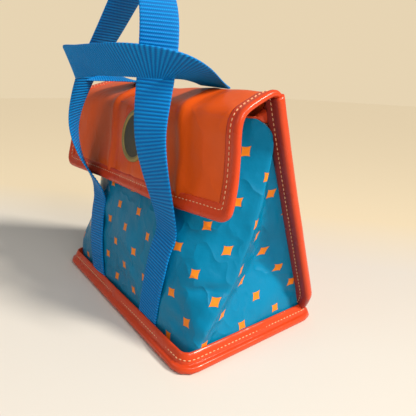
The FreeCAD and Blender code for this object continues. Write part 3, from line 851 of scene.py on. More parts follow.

# %% [markdown]
# On the bag the back and the flap are one sheet that bends at the ridge, so one mesh stands for both, baked
# in place and tied to neither the bag nor the flap. The lining is a second sheet under the flap.

# %% Vinyl pieces
LINING_DEPTHS = (0.95, 1.4)
LINING_ROW = ridge_row + 3


def fold_with_flap(piece):
    """Bake a piece's placing into its mesh; it is not tied to the bag or the flap."""
    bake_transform(piece)


points, faces = shell(vinyl_grid, vinyl_grid - SHEET_DEPTHS[1] * vinyl_out)
vinyl_sheet = new_piece("vinyl_sheet", points, faces, orange_vinyl, np.concatenate([vinyl_map, vinyl_map]))
fold_with_flap(vinyl_sheet)
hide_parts("back_panel", "flap_cover")

lining_out = vinyl_out[LINING_ROW:]
points, faces = shell(*(vinyl_grid[LINING_ROW:] - depth * lining_out for depth in LINING_DEPTHS))
flap_lining = new_piece("flap_under_lining", points, faces, film)
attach(flap_lining, "flap")
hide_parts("flap_lining")
print(f"vinyl {walked[-1]:.0f} mm long, ridge at row {ridge_row}")

# %% [markdown]
# ## Binding tape
# Every outward seam is bound: a tape is folded over the raw edges and stitched through. A binding is one
# closed profile carried along its seam. The base binding stands out as a flange that the bag rests on, and a
# slow noise along it keeps its leaf from looking machined.

# %% Base binding
BASE_HALF_X = 104.0
BASE_HALF_Y = 56.6
BASE_ROUND = 5.0
BASE_STEP = 3.0
BASE_PROFILE = (
    (0.4, 12.4), (1.2, 13.2), (2.1, 12.7), (3.1, 10.7), (4.1, 8.5), (4.7, 6.9), (4.7, 6.1), (5.3, 5.7),
    (6.6, 5.8), (7.8, 4.9), (8.3, 3.3), (8.0, 1.5), (6.8, 0.4), (5.0, 0.05), (1.0, 0.05), (-5, 0.05),
    (-5, 0.9), (-1, 1.4), (0.2, 6),
)


def rounded_rectangle(half_x, half_y, corner, step):
    """Points round a rectangle with rounded corners, and the way out of it at each."""
    points, outs = [], []
    turns = np.linspace(0, math.pi / 2, 10)
    for quarter, (sx, sy) in enumerate(((1, -1), (1, 1), (-1, 1), (-1, -1))):
        angle = turns + (quarter - 1) * math.pi / 2
        way = np.stack([np.cos(angle), np.sin(angle), 0 * angle], axis=1)
        points.append(way * corner + (sx * (half_x - corner), sy * (half_y - corner), 0))
        outs.append(way)
    points, outs = np.concatenate(points), np.concatenate(outs)
    loop = np.concatenate([points, points[:1]])
    spots = np.arange(0, lengths(loop)[-1] - step / 2, step)
    ways = np.concatenate([outs, outs[:1]])
    walked = lengths(loop)
    points, outs = (
        np.stack([np.interp(spots, walked, a[:, k]) for k in range(3)], axis=1) for a in (loop, ways)
    )
    return points, unit(outs)


base_path, base_out = rounded_rectangle(BASE_HALF_X, BASE_HALF_Y, BASE_ROUND, BASE_STEP)
upright = np.repeat([[0.0, 0.0, 1.0]], len(base_path), axis=0)
base_path = stance(base_path)
wander = crumple(base_path, 22, 0.7, 5)
base_profile = np.repeat(np.array(BASE_PROFILE)[None], len(base_path), axis=0)
above = ease((base_profile[..., 1] - 1) / 6)
base_profile[..., 1] *= 1 + 0.07 * (above * wander[:, None])
base_profile[..., 0] += above * wander[:, None]
points, faces = sweep(base_path, base_out, upright, base_profile, closed=True)
base_tape = new_piece("base_tape", points, faces, orange_tape)
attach(base_tape, "bag")
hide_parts("base_binding")
print(f"base binding about {lengths(base_path)[-1]:.0f} mm round")

# %% [markdown]
# The side bindings join the gussets to the back. Their profile has a flat leaf on the gusset's side and a
# roll at the outer edge, and it shrinks towards the base, where the base binding laps over it.

# %% Side bindings
SIDE_LOW = 5.5
SIDE_STITCH_IN = 4.4
SIDE_STITCH_AHEAD = 3.95
SIDE_PROFILE = (
    (-10.4, -2.8), (-10.3, -3.7), (-8.0, -4.0), (-5.0, -3.9), (-3.6, -3.5), (-2.6, -4.0), (-0.7, -4.2),
    (1.8, -4.0), (3.0, -2.9), (3.4, -0.6), (2.5, 1.8), (0.8, 2.7), (-1.3, 2.4), (-2.7, 1.5), (-4.2, 1.2),
    (-9.4, 1.1), (-9.8, 0.6), (-9.4, 0.1), (-3.0, -0.1), (-3.0, -2.2),
)
side_stitches = []
for name, column, way in (("right", -1, 1.0), ("left", 0, -1.0)):
    first = int(np.argmax(middle[:, 1] > SIDE_LOW))
    path = vinyl_grid[first:ridge_row + 1, column]
    outward = np.repeat([[way, 0.0, 0.0]], len(path), axis=0)
    behind = unit(vinyl_out[first:ridge_row + 1, column] * (0, 1, 1))
    full = ease((lengths(path) + 6) / 14)[:, None, None] * np.array(SIDE_PROFILE)[None]
    full[..., 0] += (0.35 * crumple(path, 16, 1.0, 6))[:, None]
    points, faces = sweep(path, outward, behind, full)
    side_tape = new_piece(f"side_tape_{name}", points, faces, leaf_shaded_tape)
    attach(side_tape, "bag")
    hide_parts(f"side_binding_{name}")
    print(f"side binding {name} {lengths(path)[-1]:.0f} mm long")
    side_stitches.append((path - SIDE_STITCH_IN * outward - SIDE_STITCH_AHEAD * behind, -behind))

# %% [markdown]
# The flap's hem runs down one end, along the lower edge and up the other end. The path is read off the edge
# of the vinyl's grid, so the tape follows every wave of it. It is rolled at the ends and flatter below.

# %% Flap binding
HEM_PROFILE = (
    (9.4, 0.1), (9.1, 0.7), (7.6, 0.9), (5.2, 0.8), (4.2, 0.8), (2.8, 1.3), (1.2, 1.7), (-0.6, 1.6),
    (-1.8, 0.8), (-2.3, -0.5), (-2.0, -1.8), (-0.8, -2.7), (0.8, -2.9), (2.8, -2.6), (4.2, -2.3),
    (5.2, -2.2), (8.8, -2.2), (9.3, -1.7), (9.0, -0.5),
)
HEM_FLAT = (1.0, 0.9)
HEM_STEPS = 210
HEM_STITCH_IN = 5.4
hem_rows = range(ridge_row, SHEET_ROWS)
hem_index = [(i, SHEET_COLUMNS - 1) for i in hem_rows]
hem_index += [(SHEET_ROWS - 1, j) for j in range(SHEET_COLUMNS - 2, 0, -1)]
hem_index += [(i, 0) for i in reversed(hem_rows)]
hem_path = np.array([vinyl_grid[spot] for spot in hem_index])
hem_out = np.array([vinyl_out[spot] for spot in hem_index])
hem_both = evenly(np.concatenate([hem_path, hem_out * 0.01], axis=1), HEM_STEPS)
hem_path, hem_out = (soften(half, 4) for half in hem_both.reshape(-1, 2, 3).swapaxes(0, 1))
hem_along = unit(np.gradient(hem_path, axis=0))
hem_out = unit(hem_out - hem_along * (hem_out * hem_along).sum(1, keepdims=True))
hem_in = unit(np.cross(hem_along, hem_out))
if (hem_in[len(hem_in) // 2] @ (0, 0, 1)) < 0:
    hem_in = -hem_in
below = ease((abs(hem_along[:, 0]) - 0.4) / 0.5)[:, None, None]
hem_profile = np.array(HEM_PROFILE)[None] * (1 - below + below * np.array(HEM_FLAT))
hem_profile = hem_profile + (0.3 * crumple(hem_path, 15, 1.0, 7))[:, None, None] * (1, 0)
points, faces = sweep(hem_path, hem_in, hem_out, hem_profile)
flap_tape = new_piece("flap_tape", points, faces, orange_tape)
fold_with_flap(flap_tape)
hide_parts("flap_binding")
print(f"hem {lengths(hem_path)[-1]:.0f} mm long")
hem_stitch = (hem_path + HEM_STITCH_IN * hem_in + hem_out * (0.95 - 0.35 * below[:, :, 0]), hem_out)

# %% [markdown]
# The rim binding follows the wall itself: it is laid over the top rows of the wrap's grid, 8 mm down the
# outside, over the edge, and 8 mm down the inside. At the pinched crease it is drawn in to fit the fold.

# %% Rim binding
RIM_PROFILE = (
    (8.0, 0.05), (8.0, 0.8), (6.0, 0.95), (3.0, 1.0), (1.0, 1.3), (-0.8, 0.9), (-1.7, -0.8), (-1.9, -2.6),
    (-1.5, -4.6), (-0.4, -6.0), (1.5, -6.1), (5.0, -5.7), (8.0, -5.6), (8.0, -4.8), (4.0, -3.0),
)
RIM_BEHIND = 3.2
RIM_TUCK = 0.85
rim_grid = []
for j in range(3, columns - 3):
    line = wrap[::-1, j]
    far = lengths(line)
    over = unit(line[0] - line[3])
    tucked = 1 - RIM_TUCK * at_crease[j] ** 0.3
    station = []
    for down, lift in RIM_PROFILE:
        down = down * tucked if down > 0 else down
        lift = lift * tucked if lift < 0 else lift
        spot = [np.interp(max(down, 0), far, line[:, k]) for k in range(3)]
        way = [np.interp(max(down, 0), far, wrap_out[::-1, j][:, k]) for k in range(3)]
        station.append(np.array(spot) + lift * np.array(way) + max(-down, 0) * over)
    rim_grid.append(station)
rim_grid = soften(np.array(rim_grid), 3)
rim_grid[..., 1] = np.minimum(rim_grid[..., 1], back_y(rim_grid[..., 2], RIM_BEHIND))
count = rim_grid.shape[1]
faces = grid_faces(*rim_grid.shape[:2], wrap_columns=True)
faces += [tuple(reversed(range(count))), tuple((len(rim_grid) - 1) * count + k for k in range(count))]
rim_tape = new_piece("rim_tape", rim_grid.reshape(-1, 3), faces, orange_tape)
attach(rim_tape, "bag")
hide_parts("rim_binding")
print("rim binding:", len(rim_tape.data.polygons), "faces")

# %% [markdown]
# ## Stitches
# A stitch is a short, rounded bead of thread. Geometry Nodes turn a row of points into a curve, walk along
# it in steps of one stitch and a gap, and set a bead at each step, turned along the seam. Each point carries
# the way out of the tape as an attribute, so each bead lies in the tape's face. These helpers build such a
# tree and turn what it makes into a plain mesh.

# %% Geometry helpers


def new_tree(name, sockets):
    """A geometry tree with a mesh in, a mesh out and named inputs: (name, type, value)."""
    tree = bpy.data.node_groups.new(name, "GeometryNodeTree")
    tree.interface.new_socket("Geometry", in_out="INPUT", socket_type="NodeSocketGeometry")
    for label, kind, value in sockets:
        made = tree.interface.new_socket(label, in_out="INPUT", socket_type=f"NodeSocket{kind}")
        if value is not None:
            made.default_value = value
    tree.interface.new_socket("Geometry", in_out="OUTPUT", socket_type="NodeSocketGeometry")
    return tree


def add_node(tree, kind, settings=None, inputs=None):
    """One node of a geometry tree: its settings, then its sockets as values or links."""
    made = tree.nodes.new(kind)
    for word, value in (settings or {}).items():
        setattr(made, word, value)
    for socket, value in (inputs or {}).items():
        if isinstance(value, bpy.types.NodeSocket):
            tree.links.new(value, made.inputs[socket])
        else:
            made.inputs[socket].default_value = value
    return made


def attribute(tree, name, kind):
    """The wire of a named attribute."""
    return add_node(tree, "GeometryNodeInputNamedAttribute", {"data_type": kind}, {"Name": name}).outputs[0]


def end_tree(tree, geometry, material):
    """Close a tree: its copies become real, take the material and go out."""
    real = add_node(tree, "GeometryNodeRealizeInstances", inputs={0: geometry})
    dyed = add_node(tree, "GeometryNodeSetMaterial", inputs={0: real.outputs[0], "Material": material})
    add_node(tree, "NodeGroupOutput", inputs={0: dyed.outputs[0]})


def grown(source, tree, material):
    """The plain mesh that a geometry tree makes from an object, in place of the object's own mesh."""
    modifier = source.modifiers.new("grow", "NODES")
    modifier.node_group = tree
    for item in tree.interface.items_tree:
        if item.in_out == "INPUT" and item.socket_type == "NodeSocketMaterial":
            modifier[item.identifier] = material
    view = bpy.context.evaluated_depsgraph_get()
    view.update()
    mesh = bpy.data.meshes.new_from_object(source.evaluated_get(view), depsgraph=view)
    source.modifiers.clear()
    old = source.data
    source.data = mesh
    bpy.data.meshes.remove(old)
    mesh.polygons.foreach_set("use_smooth", [True] * len(mesh.polygons))
    return source


# %% [markdown]
# The stitch tree has three named sizes: how long a stitch is, the gap after it and how thick the thread is.
# The bead is a small ball, stretched to those sizes.

# %% Stitches
SEAM_OUT = 4.05
SEAM_UP = 8.75
SEAM_SLOPE = (2.1, 1.0)

stitch_tree = new_tree("stitch_row", (
    ("Stitch Length", "Float", 2.3 * MM), ("Gap", "Float", 1.0 * MM), ("Thread", "Float", 0.75 * MM),
    ("Material", "Material", None),
))
seam_in = add_node(stitch_tree, "NodeGroupInput").outputs
seam = add_node(stitch_tree, "GeometryNodeMeshToCurve", inputs={"Mesh": seam_in["Geometry"]})
pitch = add_node(stitch_tree, "ShaderNodeMath", inputs={0: seam_in["Stitch Length"], 1: seam_in["Gap"]})
steps = add_node(
    stitch_tree, "GeometryNodeResampleCurve", {"mode": "LENGTH"},
    {"Curve": seam.outputs[0], "Length": pitch.outputs[0]},
)
bead = add_node(stitch_tree, "GeometryNodeMeshUVSphere", inputs={"Segments": 8, "Rings": 5, "Radius": 0.5})
tangent = add_node(stitch_tree, "GeometryNodeInputTangent")
turn = add_node(
    stitch_tree, "FunctionNodeAxesToRotation", {"primary_axis": "Z", "secondary_axis": "X"},
    {0: attribute(stitch_tree, "out", "FLOAT_VECTOR"), 1: tangent.outputs[0]},
)
size = add_node(
    stitch_tree, "ShaderNodeCombineXYZ",
    inputs={0: seam_in["Stitch Length"], 1: seam_in["Thread"], 2: seam_in["Thread"]},
)
beads = add_node(
    stitch_tree, "GeometryNodeInstanceOnPoints",
    inputs={"Points": steps.outputs[0], "Instance": bead.outputs["Mesh"], "Rotation": turn.outputs[0],
            "Scale": size.outputs[0]},
)
end_tree(stitch_tree, beads.outputs[0], seam_in["Material"])


def stitch(name, seams, material):
    """One mesh of stitches along rows of points, each row with the way out at its points."""
    points = np.concatenate([row for row, _ in seams])
    edges, start = [], 0
    for row, _ in seams:
        edges += [(start + k, start + k + 1) for k in range(len(row) - 1)]
        start += len(row)
    mesh = bpy.data.meshes.new(name)
    mesh.from_pydata((points * MM).tolist(), edges, [])
    ways = mesh.attributes.new("out", "FLOAT_VECTOR", "POINT")
    ways.data.foreach_set("vector", unit(np.concatenate([w for _, w in seams])).astype(np.float32).ravel())
    return grown(add_object(name, mesh), stitch_tree, material)


slope = unit(np.array(SEAM_SLOPE))
base_seam = base_path + base_out * SEAM_OUT + upright * SEAM_UP
base_seam_out = base_out * slope[0] + upright * slope[1]
loop = np.concatenate([base_seam, base_seam[:1]])
body_stitches = stitch(
    "body_stitches",
    side_stitches + [(loop, np.concatenate([base_seam_out, base_seam_out[:1]]))],
    thread,
)
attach(body_stitches, "bag")
flap_stitches = stitch("flap_stitches", [hem_stitch], thread)
fold_with_flap(flap_stitches)
print("stitch faces:", len(body_stitches.data.polygons), len(flap_stitches.data.polygons))

# %% [markdown]
# ## Webbing
# Both handles are flat webbing, so each is drawn directly: a path and the way its width points at every
# step. The front handle climbs the wall, leaves it under the flap's edge and twists a quarter turn to the
# top. A geometry tree then raises the ribs across the band, from attributes that give the distance along it.

# %% Webbing tree
rib_tree = new_tree("web_ribs", (
    ("Rib Pitch", "Float", RIB_PITCH * MM), ("Rib Height", "Float", 0.26 * MM),
    ("Material", "Material", None),
))
web_in = add_node(rib_tree, "NodeGroupInput").outputs


def rib_math(operation, first, second=0.0):
    """One step of the rib sum."""
    return add_node(rib_tree, "ShaderNodeMath", {"operation": operation}, {0: first, 1: second}).outputs[0]


ribs_along = rib_math("DIVIDE", attribute(rib_tree, "along", "FLOAT"), web_in["Rib Pitch"])
wave = rib_math("COSINE", rib_math("MULTIPLY", ribs_along, 2 * math.pi))
tall = rib_math("MULTIPLY", wave, web_in["Rib Height"])
tall = rib_math("MULTIPLY", tall, attribute(rib_tree, "body", "FLOAT"))
facing = add_node(rib_tree, "GeometryNodeInputNormal").outputs[0]
push = add_node(rib_tree, "ShaderNodeVectorMath", {"operation": "SCALE"}, {0: facing, "Scale": tall})
ribbed = add_node(
    rib_tree, "GeometryNodeSetPosition", inputs={"Geometry": web_in["Geometry"], "Offset": push.outputs[0]},
)
end_tree(rib_tree, ribbed.outputs[0], web_in["Material"])
print("rib tree:", len(rib_tree.nodes), "nodes")

# %% [markdown]
# A band is a thin section with rounded edges, carried along its path. Each point notes how far along the band
# it is and whether it is on the flat or on an edge, which is what the ribs are made from.

# %% Webbing band
WEB_HALF_THICK = 0.75
BAND = np.array([
    (-0.5, -0.35), (-0.485, -0.8), (-0.45, -1), (-0.3, -1), (-0.1, -1), (0.1, -1), (0.3, -1), (0.45, -1),
    (0.485, -0.8), (0.5, -0.35), (0.5, 0.35), (0.485, 0.8), (0.45, 1), (0.3, 1), (0.1, 1), (-0.1, 1),
    (-0.3, 1), (-0.45, 1), (-0.485, 0.8), (-0.5, 0.35),
])
BAND_BODY = np.where(abs(BAND[:, 0]) < 0.47, 1.0, 0.25)


def band(name, paths):
    """Ribbed webbing along paths; each path has points and the way its width runs."""
    points, faces, maps, along, body = [], [], [], [], []
    start = 0
    for path, wide in paths:
        tangent = unit(np.gradient(path, axis=0))
        wide = unit(wide - tangent * (wide * tangent).sum(1, keepdims=True))
        facing = np.cross(tangent, wide)
        made, sides = sweep(path, wide, facing, BAND * (web_width, WEB_HALF_THICK))
        far = np.repeat(lengths(path), len(BAND))
        points.append(made)
        faces += [tuple(start + k for k in side) for side in sides]
        maps.append(np.stack([far, np.tile(BAND[:, 0] * web_width, len(path))], axis=1))
        along.append(far)
        body.append(np.tile(BAND_BODY, len(path)))
        start += len(made)
    made = new_piece(name, np.concatenate(points), faces, webbing, np.concatenate(maps))
    for word, values in (("along", np.concatenate(along) * MM), ("body", np.concatenate(body))):
        made.data.attributes.new(word, "FLOAT", "POINT").data.foreach_set("value", values.astype(np.float32))
    return grown(made, rib_tree, webbing)


# %% [markdown]
# The front handle is one strap: a sewn tail on each side, found by casting rays at the wall, and the free
# loop between them.

# %% Front handle
LOOP_RIGHT = (
    (64.5, -49.6, 93), (65.4, -52.4, 104), (63, -55, 120), (59, -56.4, 137), (56, -56, 152),
    (55.6, -53.6, 168), (54, -49, 188), (52.6, -45.4, 208), (48.5, -42.4, 228), (38, -40.6, 245),
)
LOOP_LEFT = (
    (-50.5, -49.6, 92), (-53, -54, 102), (-57, -60, 115), (-59.4, -64, 132), (-58, -65.4, 148),
    (-54, -62.6, 165), (-43, -56, 190), (-29, -49, 209), (-14, -44, 226), (4, -41, 243),
)
LOOP_TOP = (22, -40, 253)
LOOP_CROWN = 251
SEWN_LOW = 10.6
SEWN_IN = 8
SEWN_LEAN = 12.0
HANDLE_STEPS = 1300
RAY_START = -150


def on_front(x, z, proud):
    """The spot on the front wall at a place across and up, standing proud of it."""
    hit, *_ = wall_tree.ray_cast(Vector((x, RAY_START, z)), Vector((0, 1, 0)))
    return (x, hit.y - proud, z)


sewn = np.linspace(SEWN_LOW, leave_height - 3, 9)
climb = [on_front(strap_right - SEWN_IN + SEWN_LEAN * k / 8, z, 1.0) for k, z in enumerate(sewn)]
climb_left = [on_front(strap_left + SEWN_IN - SEWN_LEAN * k / 12, z, 1.0) for k, z in enumerate(sewn)]
handle_marks = [*climb_left, *LOOP_LEFT, LOOP_TOP, *reversed(LOOP_RIGHT), *reversed(climb)]
handle_path = spline(handle_marks, HANDLE_STEPS)
rise = np.clip((handle_path[:, 2] - leave_height) / (LOOP_CROWN - leave_height), 0, 1)
side_sign = np.where(np.arange(HANDLE_STEPS) < np.argmax(handle_path[:, 2]), -1.0, 1.0)
quarter = math.pi / 2 * np.where(side_sign < 0, rise ** 0.9, rise ** 1.4)
handle_wide = np.stack([side_sign * np.cos(quarter), np.sin(quarter), 0 * quarter], axis=1)
front_handle = band("front_handle_band", [(handle_path, handle_wide)])
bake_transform(front_handle)
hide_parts("front_strap_left", "front_strap_right", "front_handle_loop")
print(f"front handle {lengths(handle_path)[-1]:.0f} mm of webbing")

# %% [markdown]
# The back handle has flopped forward over the ridge: it starts flat at each root, turns on edge as it reaches
# out and comes round the front handle. Its two tails are sewn up the back, slack a little before the ridge.

# %% Back handle
HOOP = (
    (-52, 1.2, 181), (-53, -2, 181.8), (-55, -12, 183.4), (-57.5, -26, 186.6), (-57, -42, 190.4),
    (-53, -57, 193.4), (-44, -69, 195.2), (-31, -74, 195.8), (-12, -75, 196), (10, -74.6, 195.8),
    (34, -72.6, 195.4), (54, -68, 195), (67, -59, 194), (72, -46, 192.2), (69, -31, 189), (61, -17, 185.4),
    (55, -6, 182.6), (52.5, -2, 181.6), (51, 1.2, 180.9),
)
STRAP_STEPS = 380
STRAP_LOW = 10.5
STRAP_SLACK = 2.2
HOOP_STEPS = 580
HOOP_REACH = 72.0
hoop_path = spline(HOOP, HOOP_STEPS)
hoop_turn = math.pi / 2 * np.clip((ridge_y - hoop_path[:, 1]) / HOOP_REACH, 0, 1) ** 1.5
hoop_turn = np.where(np.arange(HOOP_STEPS) < HOOP_STEPS / 2, hoop_turn, math.pi - hoop_turn)
hoop_lean = 0.3 + 0.36 * ease((hoop_path[:, 0] + 50) / 60)
hoop_stand = -np.sqrt(1 - hoop_lean ** 2)
on_edge = np.sin(hoop_turn)
hoop_wide = np.stack([np.cos(hoop_turn), hoop_lean * on_edge, hoop_stand * on_edge], axis=1)
back_hoop = band("back_handle_band", [(hoop_path, hoop_wide)])
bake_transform(back_hoop)
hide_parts("back_handle_loop")

back_paths = []
for strap_x, root_x in ((strap_left, HOOP[0][0]), (strap_right, HOOP[-1][0])):
    column = int(np.argmin(abs(vinyl_grid[20, :, 0] - strap_x)))
    sewn_rows = slice(int(np.argmax(middle[:, 1] > STRAP_LOW)), ridge_row - 1)
    outward = vinyl_out[sewn_rows, column]
    run = vinyl_grid[sewn_rows, column] + outward
    slack = STRAP_SLACK * ease((run[:, 2] - 105) / 30) * ease((176 - run[:, 2]) / 25)
    run = run + slack[:, None] * outward
    run[:, 0] = strap_x + (root_x - strap_x) * ease((run[:, 2] - 150) / 28)
    path = spline(np.concatenate([run[::4], run[-1:]]), STRAP_STEPS)
    back_paths.append((path, np.repeat([[1.0, 0.0, 0.0]], STRAP_STEPS, axis=0)))
back_straps = band("back_strap_bands", back_paths)
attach(back_straps, "bag")
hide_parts("back_strap_left", "back_strap_right")
print("webbing faces:", sum(len(p.data.polygons) for p in (front_handle, back_hoop, back_straps)))

# %% [markdown]
# ## Badge
# A moulded disc with a raised rim is set in the flap. It is a turned shape: one profile spun round an axis
# that stands square to the flap where the badge sits. Its sunken face is plain and darker than its rim.

# %% Badge
BADGE_PROFILE = (
    (0, 0.9), (6, 0.95), (12, 0.9), (15.6, 0.85), (16.4, 0.95), (16.9, 1.5), (17.7, 1.9), (18.8, 1.9),
    (19.8, 1.5), (20.4, 0.8), (20.4, -0.5), (0, -0.5),
)
BADGE_FIELD = 16.2
AROUND = 64
flap_part = vinyl_grid[ridge_row + 8:]
spot = np.argmin(((flap_part[..., (0, 2)] - (badge_x, badge_z)) ** 2).sum(-1))
badge_row, badge_column = np.unravel_index(spot, flap_part.shape[:2])
badge_row += ridge_row + 8
patch = (slice(badge_row - 7, badge_row + 8), slice(badge_column - 7, badge_column + 8))
badge_axis = unit(vinyl_out[patch].reshape(-1, 3).mean(0))
badge_seat = vinyl_grid[patch].reshape(-1, 3).mean(0)
badge_side = unit(np.cross((0, 0, 1), badge_axis))
badge_up = np.cross(badge_axis, badge_side)
angles = np.linspace(0, 2 * math.pi, AROUND, endpoint=False)
spokes = np.outer(np.cos(angles), badge_side) + np.outer(np.sin(angles), badge_up)
rings = [badge_seat + r * spokes + h * badge_axis for r, h in BADGE_PROFILE[1:-1]]
top, bottom = (badge_seat + BADGE_PROFILE[k][1] * badge_axis for k in (0, -1))
points = np.concatenate([[top], *rings, [bottom]])
last = len(points) - 1
faces = [(0, 1 + k, 1 + (k + 1) % AROUND) for k in range(AROUND)]
faces += grid_faces(len(rings), AROUND, start=1, flip=True, wrap_columns=True)
faces += [(last, last - AROUND + (k + 1) % AROUND, last - AROUND + k) for k in range(AROUND)]
badge_disc = new_piece("badge_disc", points, faces, brass_olive)
badge_disc.data.materials.append(dark_olive)
middles = np.array([points[list(face.vertices)].mean(0) for face in badge_disc.data.polygons])
inside = np.linalg.norm(middles - badge_seat, axis=1) < BADGE_FIELD
badge_disc.data.polygons.foreach_set("material_index", inside.astype(np.int32))
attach(badge_disc, "flap")
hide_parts("badge")
print(f"badge {2 * max(r for r, _ in BADGE_PROFILE):.1f} mm across")

# %% [markdown]
# ## Inside and underneath
# These pieces show when the flap is up or the bag is turned over: foam and film on the back, the floor's
# foam and film, the base sheet and the two closure strips.

# %% Plates


def plate(name, lower, upper, material, node, body="bag"):
    """A closed sheet between two grids, in place of a node of the frame."""
    points, faces = shell(upper, lower)
    made = new_piece(name, points, faces, material)
    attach(made, body)
    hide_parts(node)
    return made


def back_grid(half, low, high, inside):
    """A grid on the inside of the back, that far in from its outer face."""
    x, z = np.meshgrid(np.linspace(-half, half, 48), np.linspace(low, high, 40))
    return np.stack([x, back_y(z, inside), z], axis=-1)


def floor_grid(half_x, half_y, z):
    """A level grid over the base."""
    x, y = np.meshgrid(np.linspace(-half_x, half_x, 48), np.linspace(-half_y, half_y, 28))
    return stance(np.stack([x, y, np.full_like(x, z)], axis=-1))


BACK_SPAN = (101, 6.4, 160)
BASE_SPAN = (103, 55.5)
FLOOR_SPAN = (97, 50)
FILM_THICK = 0.45

back_foam = plate(
    "back_padding", back_grid(*BACK_SPAN, 1.4), back_grid(*BACK_SPAN, 4.0), foam, "back_foam"
)
film_face = back_grid(*BACK_SPAN, 4.8)
film_face[..., 1] += crumple(film_face, 24, 0.5, 8)
back_film = plate("back_film", film_face + (0, FILM_THICK, 0), film_face, film, "back_liner")
base_sheet = plate(
    "base_sheet", floor_grid(*BASE_SPAN, 0.05), floor_grid(*BASE_SPAN, 0.85), printed_sheet,
    "base_panel",
)
base_foam = plate(
    "base_padding", floor_grid(*FLOOR_SPAN, 2.6), floor_grid(*FLOOR_SPAN, 5.4), foam, "base_foam"
)
floor_face = floor_grid(*FLOOR_SPAN, 6.1)
floor_face[..., 2] += crumple(floor_face, 22, 0.35, 9)
base_film = plate("base_film", floor_face - (0, 0, FILM_THICK), floor_face, film, "base_liner")
print("plates made")

# %% [markdown]
# The flap closes on a pair of strips: soft loops on the front and small hooks inside the flap. Both are drawn
# alike, as a bed of small knobs. One geometry tree sets them: it takes a grid of points, shifts each one a
# little with a fixed seed and stands a knob on it.

# %% Tuft tree
STRIP_PITCH = 2.2

tuft_tree = new_tree("strip_tufts", (
    ("Tall", "Float", 0.5 * MM), ("Wide", "Float", 0.9 * MM), ("Scatter", "Float", 0.5 * MM),
    ("Seed", "Int", 4), ("Material", "Material", None),
))
strip_in = add_node(tuft_tree, "NodeGroupInput").outputs
spread_low = add_node(
    tuft_tree, "ShaderNodeMath", {"operation": "MULTIPLY"}, {0: strip_in["Scatter"], 1: -1.0},
)
shift = add_node(
    tuft_tree, "FunctionNodeRandomValue", {"data_type": "FLOAT_VECTOR"},
    {0: spread_low.outputs[0], 1: strip_in["Scatter"], "Seed": strip_in["Seed"]},
)
flat_shift = add_node(
    tuft_tree, "ShaderNodeVectorMath", {"operation": "MULTIPLY"}, {0: shift.outputs[0], 1: (1.0, 0.0, 1.0)},
)
strewn = add_node(
    tuft_tree, "GeometryNodeSetPosition",
    inputs={"Geometry": strip_in["Geometry"], "Offset": flat_shift.outputs[0]},
)
knob = add_node(tuft_tree, "GeometryNodeMeshUVSphere", inputs={"Segments": 6, "Rings": 4, "Radius": 0.5})
knob_size = add_node(
    tuft_tree, "ShaderNodeCombineXYZ", inputs={0: strip_in["Wide"], 1: strip_in["Tall"], 2: strip_in["Wide"]},
)
knobs = add_node(
    tuft_tree, "GeometryNodeInstanceOnPoints",
    inputs={"Points": strewn.outputs[0], "Instance": knob.outputs["Mesh"], "Scale": knob_size.outputs[0]},
)
end_tree(tuft_tree, knobs.outputs[0], strip_in["Material"])
print("tuft tree:", len(tuft_tree.nodes), "nodes")

# %% [markdown]
# Each strip is a thin plate on the slope of the front, with its knobs on the side that faces the other strip.

# %% Strip pieces
STRIP_THICK = 1.0
STRIP_MARGIN = 1.5


def strip(node, body, face_sign):
    """A closure strip and its tufts where the frame has its plate; face_sign says which side they are on."""
    low, high = box_mm(node)
    x, z = np.meshgrid(np.linspace(low[0], high[0], 30), np.linspace(low[2], high[2], 10))
    y = low[1] + (z - low[2]) * FRONT_SLOPE
    face = np.stack([x, y, z], axis=-1)
    plate(f"{node}_tape", face + (0, STRIP_THICK, 0), face, hook_tape, node, body)
    across = np.arange(low[0] + STRIP_MARGIN, high[0] - 1, STRIP_PITCH)
    x, z = np.meshgrid(across, np.arange(low[2] + STRIP_MARGIN, high[2] - 1, STRIP_PITCH))
    y = low[1] + (z - low[2]) * FRONT_SLOPE + (STRIP_THICK if face_sign > 0 else 0)
    seat = np.stack([x, y, z], axis=-1)
    mesh = bpy.data.meshes.new(f"{node}_tufts")
    mesh.from_pydata((seat.reshape(-1, 3) * MM).tolist(), [], [])
    tufts = grown(add_object(f"{node}_tufts", mesh), tuft_tree, hook_tape)
    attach(tufts, body)
    print(node, "tufts:", x.size)


strip("loop_strip", "bag", -1)
strip("hook_strip", "flap", 1)

# %% [markdown]
# The base board is a plain stiff sheet, so the frame's own solid stays and only gets its finish.

# %% Board
board_part = bpy.data.objects["base_board"]
board_part.data.materials.clear()
board_part.data.materials.append(board)
print("board:", len(board_part.data.polygons), "faces of the frame's own")

# %% [markdown]
# ## Stage and light
# The bag stands on a pale table that turns creamier behind it. The table is large and flat, so it needs only
# one face and a mix of two colours.

# %% Stage
TABLE_NEAR = colour(0.70, 0.665, 0.61)
TABLE_FAR = colour(0.80, 0.68, 0.48)
TABLE_HALF = 4

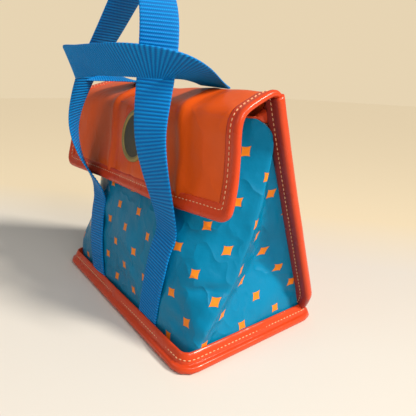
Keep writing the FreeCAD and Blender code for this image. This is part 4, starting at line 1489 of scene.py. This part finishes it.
table_finish = Finish("table", roughness=0.7)
table_x, table_y = table_finish.parts(table_finish.place(), 2)
beyond = ((table_y * 0.8 - table_x * 0.6 - 0.1) * 6).clamped()
table_finish.done(base_color=table_finish.mix(beyond, TABLE_NEAR, TABLE_FAR))
mesh = bpy.data.meshes.new("table")
corners = [(x * TABLE_HALF, y * TABLE_HALF, 0) for x, y in ((-1, -1), (1, -1), (1, 1), (-1, 1))]
mesh.from_pydata(corners, [], [(0, 1, 2, 3)])
mesh.materials.append(table_finish.material)
table = add_object("table", mesh)
print(f"table {2 * TABLE_HALF} m across")

# %% [markdown]
# A broad warm lamp stands to the right and behind, so the gusset and the flap's top are bright, the front
# falls into shade and the shadow goes left. A small lamp adds gloss, a weak one in front opens the shade, and
# so does an even sky, which the camera sees as plain cream. A plain colour renders about as it is written.

# %% Light
LAMP_AIM = Vector((0, 0, 0.08))
SKY_FILL = 0.3
CREAM_SEEN = colour(0.80, 0.66, 0.45)


def lamp(name, kind, place, power, tint, **settings):
    """A lamp turned to the bag; the settings are its type's own, such as a size or an angle."""
    light = bpy.data.lights.new(name, kind)
    light.energy = power
    light.color = tint
    for word, value in settings.items():
        setattr(light, word, value)
    made = add_object(name, light)
    made.location = place
    made.rotation_mode = "QUATERNION"
    made.rotation_quaternion = (LAMP_AIM - Vector(place)).to_track_quat("-Z", "Y")


lamp("window", "SUN", (0.56, 0.32, 0.62), 3.6, (1.0, 0.93, 0.82), angle=0.22)
lamp("gloss", "AREA", (0.60, -0.10, 0.55), 2.5, (1.0, 0.96, 0.90), size=0.25)
lamp("room", "AREA", (-0.2, -0.9, 0.8), 1.2, (0.92, 0.96, 1.0), size=0.5)
sky = bpy.data.worlds.new("sky")
bpy.context.scene.world = sky
sky.use_nodes = True
fill = sky.node_tree.nodes["Background"]
fill.inputs["Color"].default_value = colour(0.95, 0.93, 0.90)
fill.inputs["Strength"].default_value = SKY_FILL
cream = sky.node_tree.nodes.new("ShaderNodeBackground")
cream.inputs["Color"].default_value = CREAM_SEEN
seen = sky.node_tree.nodes.new("ShaderNodeLightPath")
either = sky.node_tree.nodes.new("ShaderNodeMixShader")
sky.node_tree.links.new(seen.outputs["Is Camera Ray"], either.inputs[0])
sky.node_tree.links.new(fill.outputs[0], either.inputs[1])
sky.node_tree.links.new(cream.outputs[0], either.inputs[2])
sky.node_tree.links.new(either.outputs[0], sky.node_tree.nodes["World Output"].inputs[0])
bpy.context.scene.view_settings.view_transform = "Standard"
print("lamps:", len(bpy.data.lights))
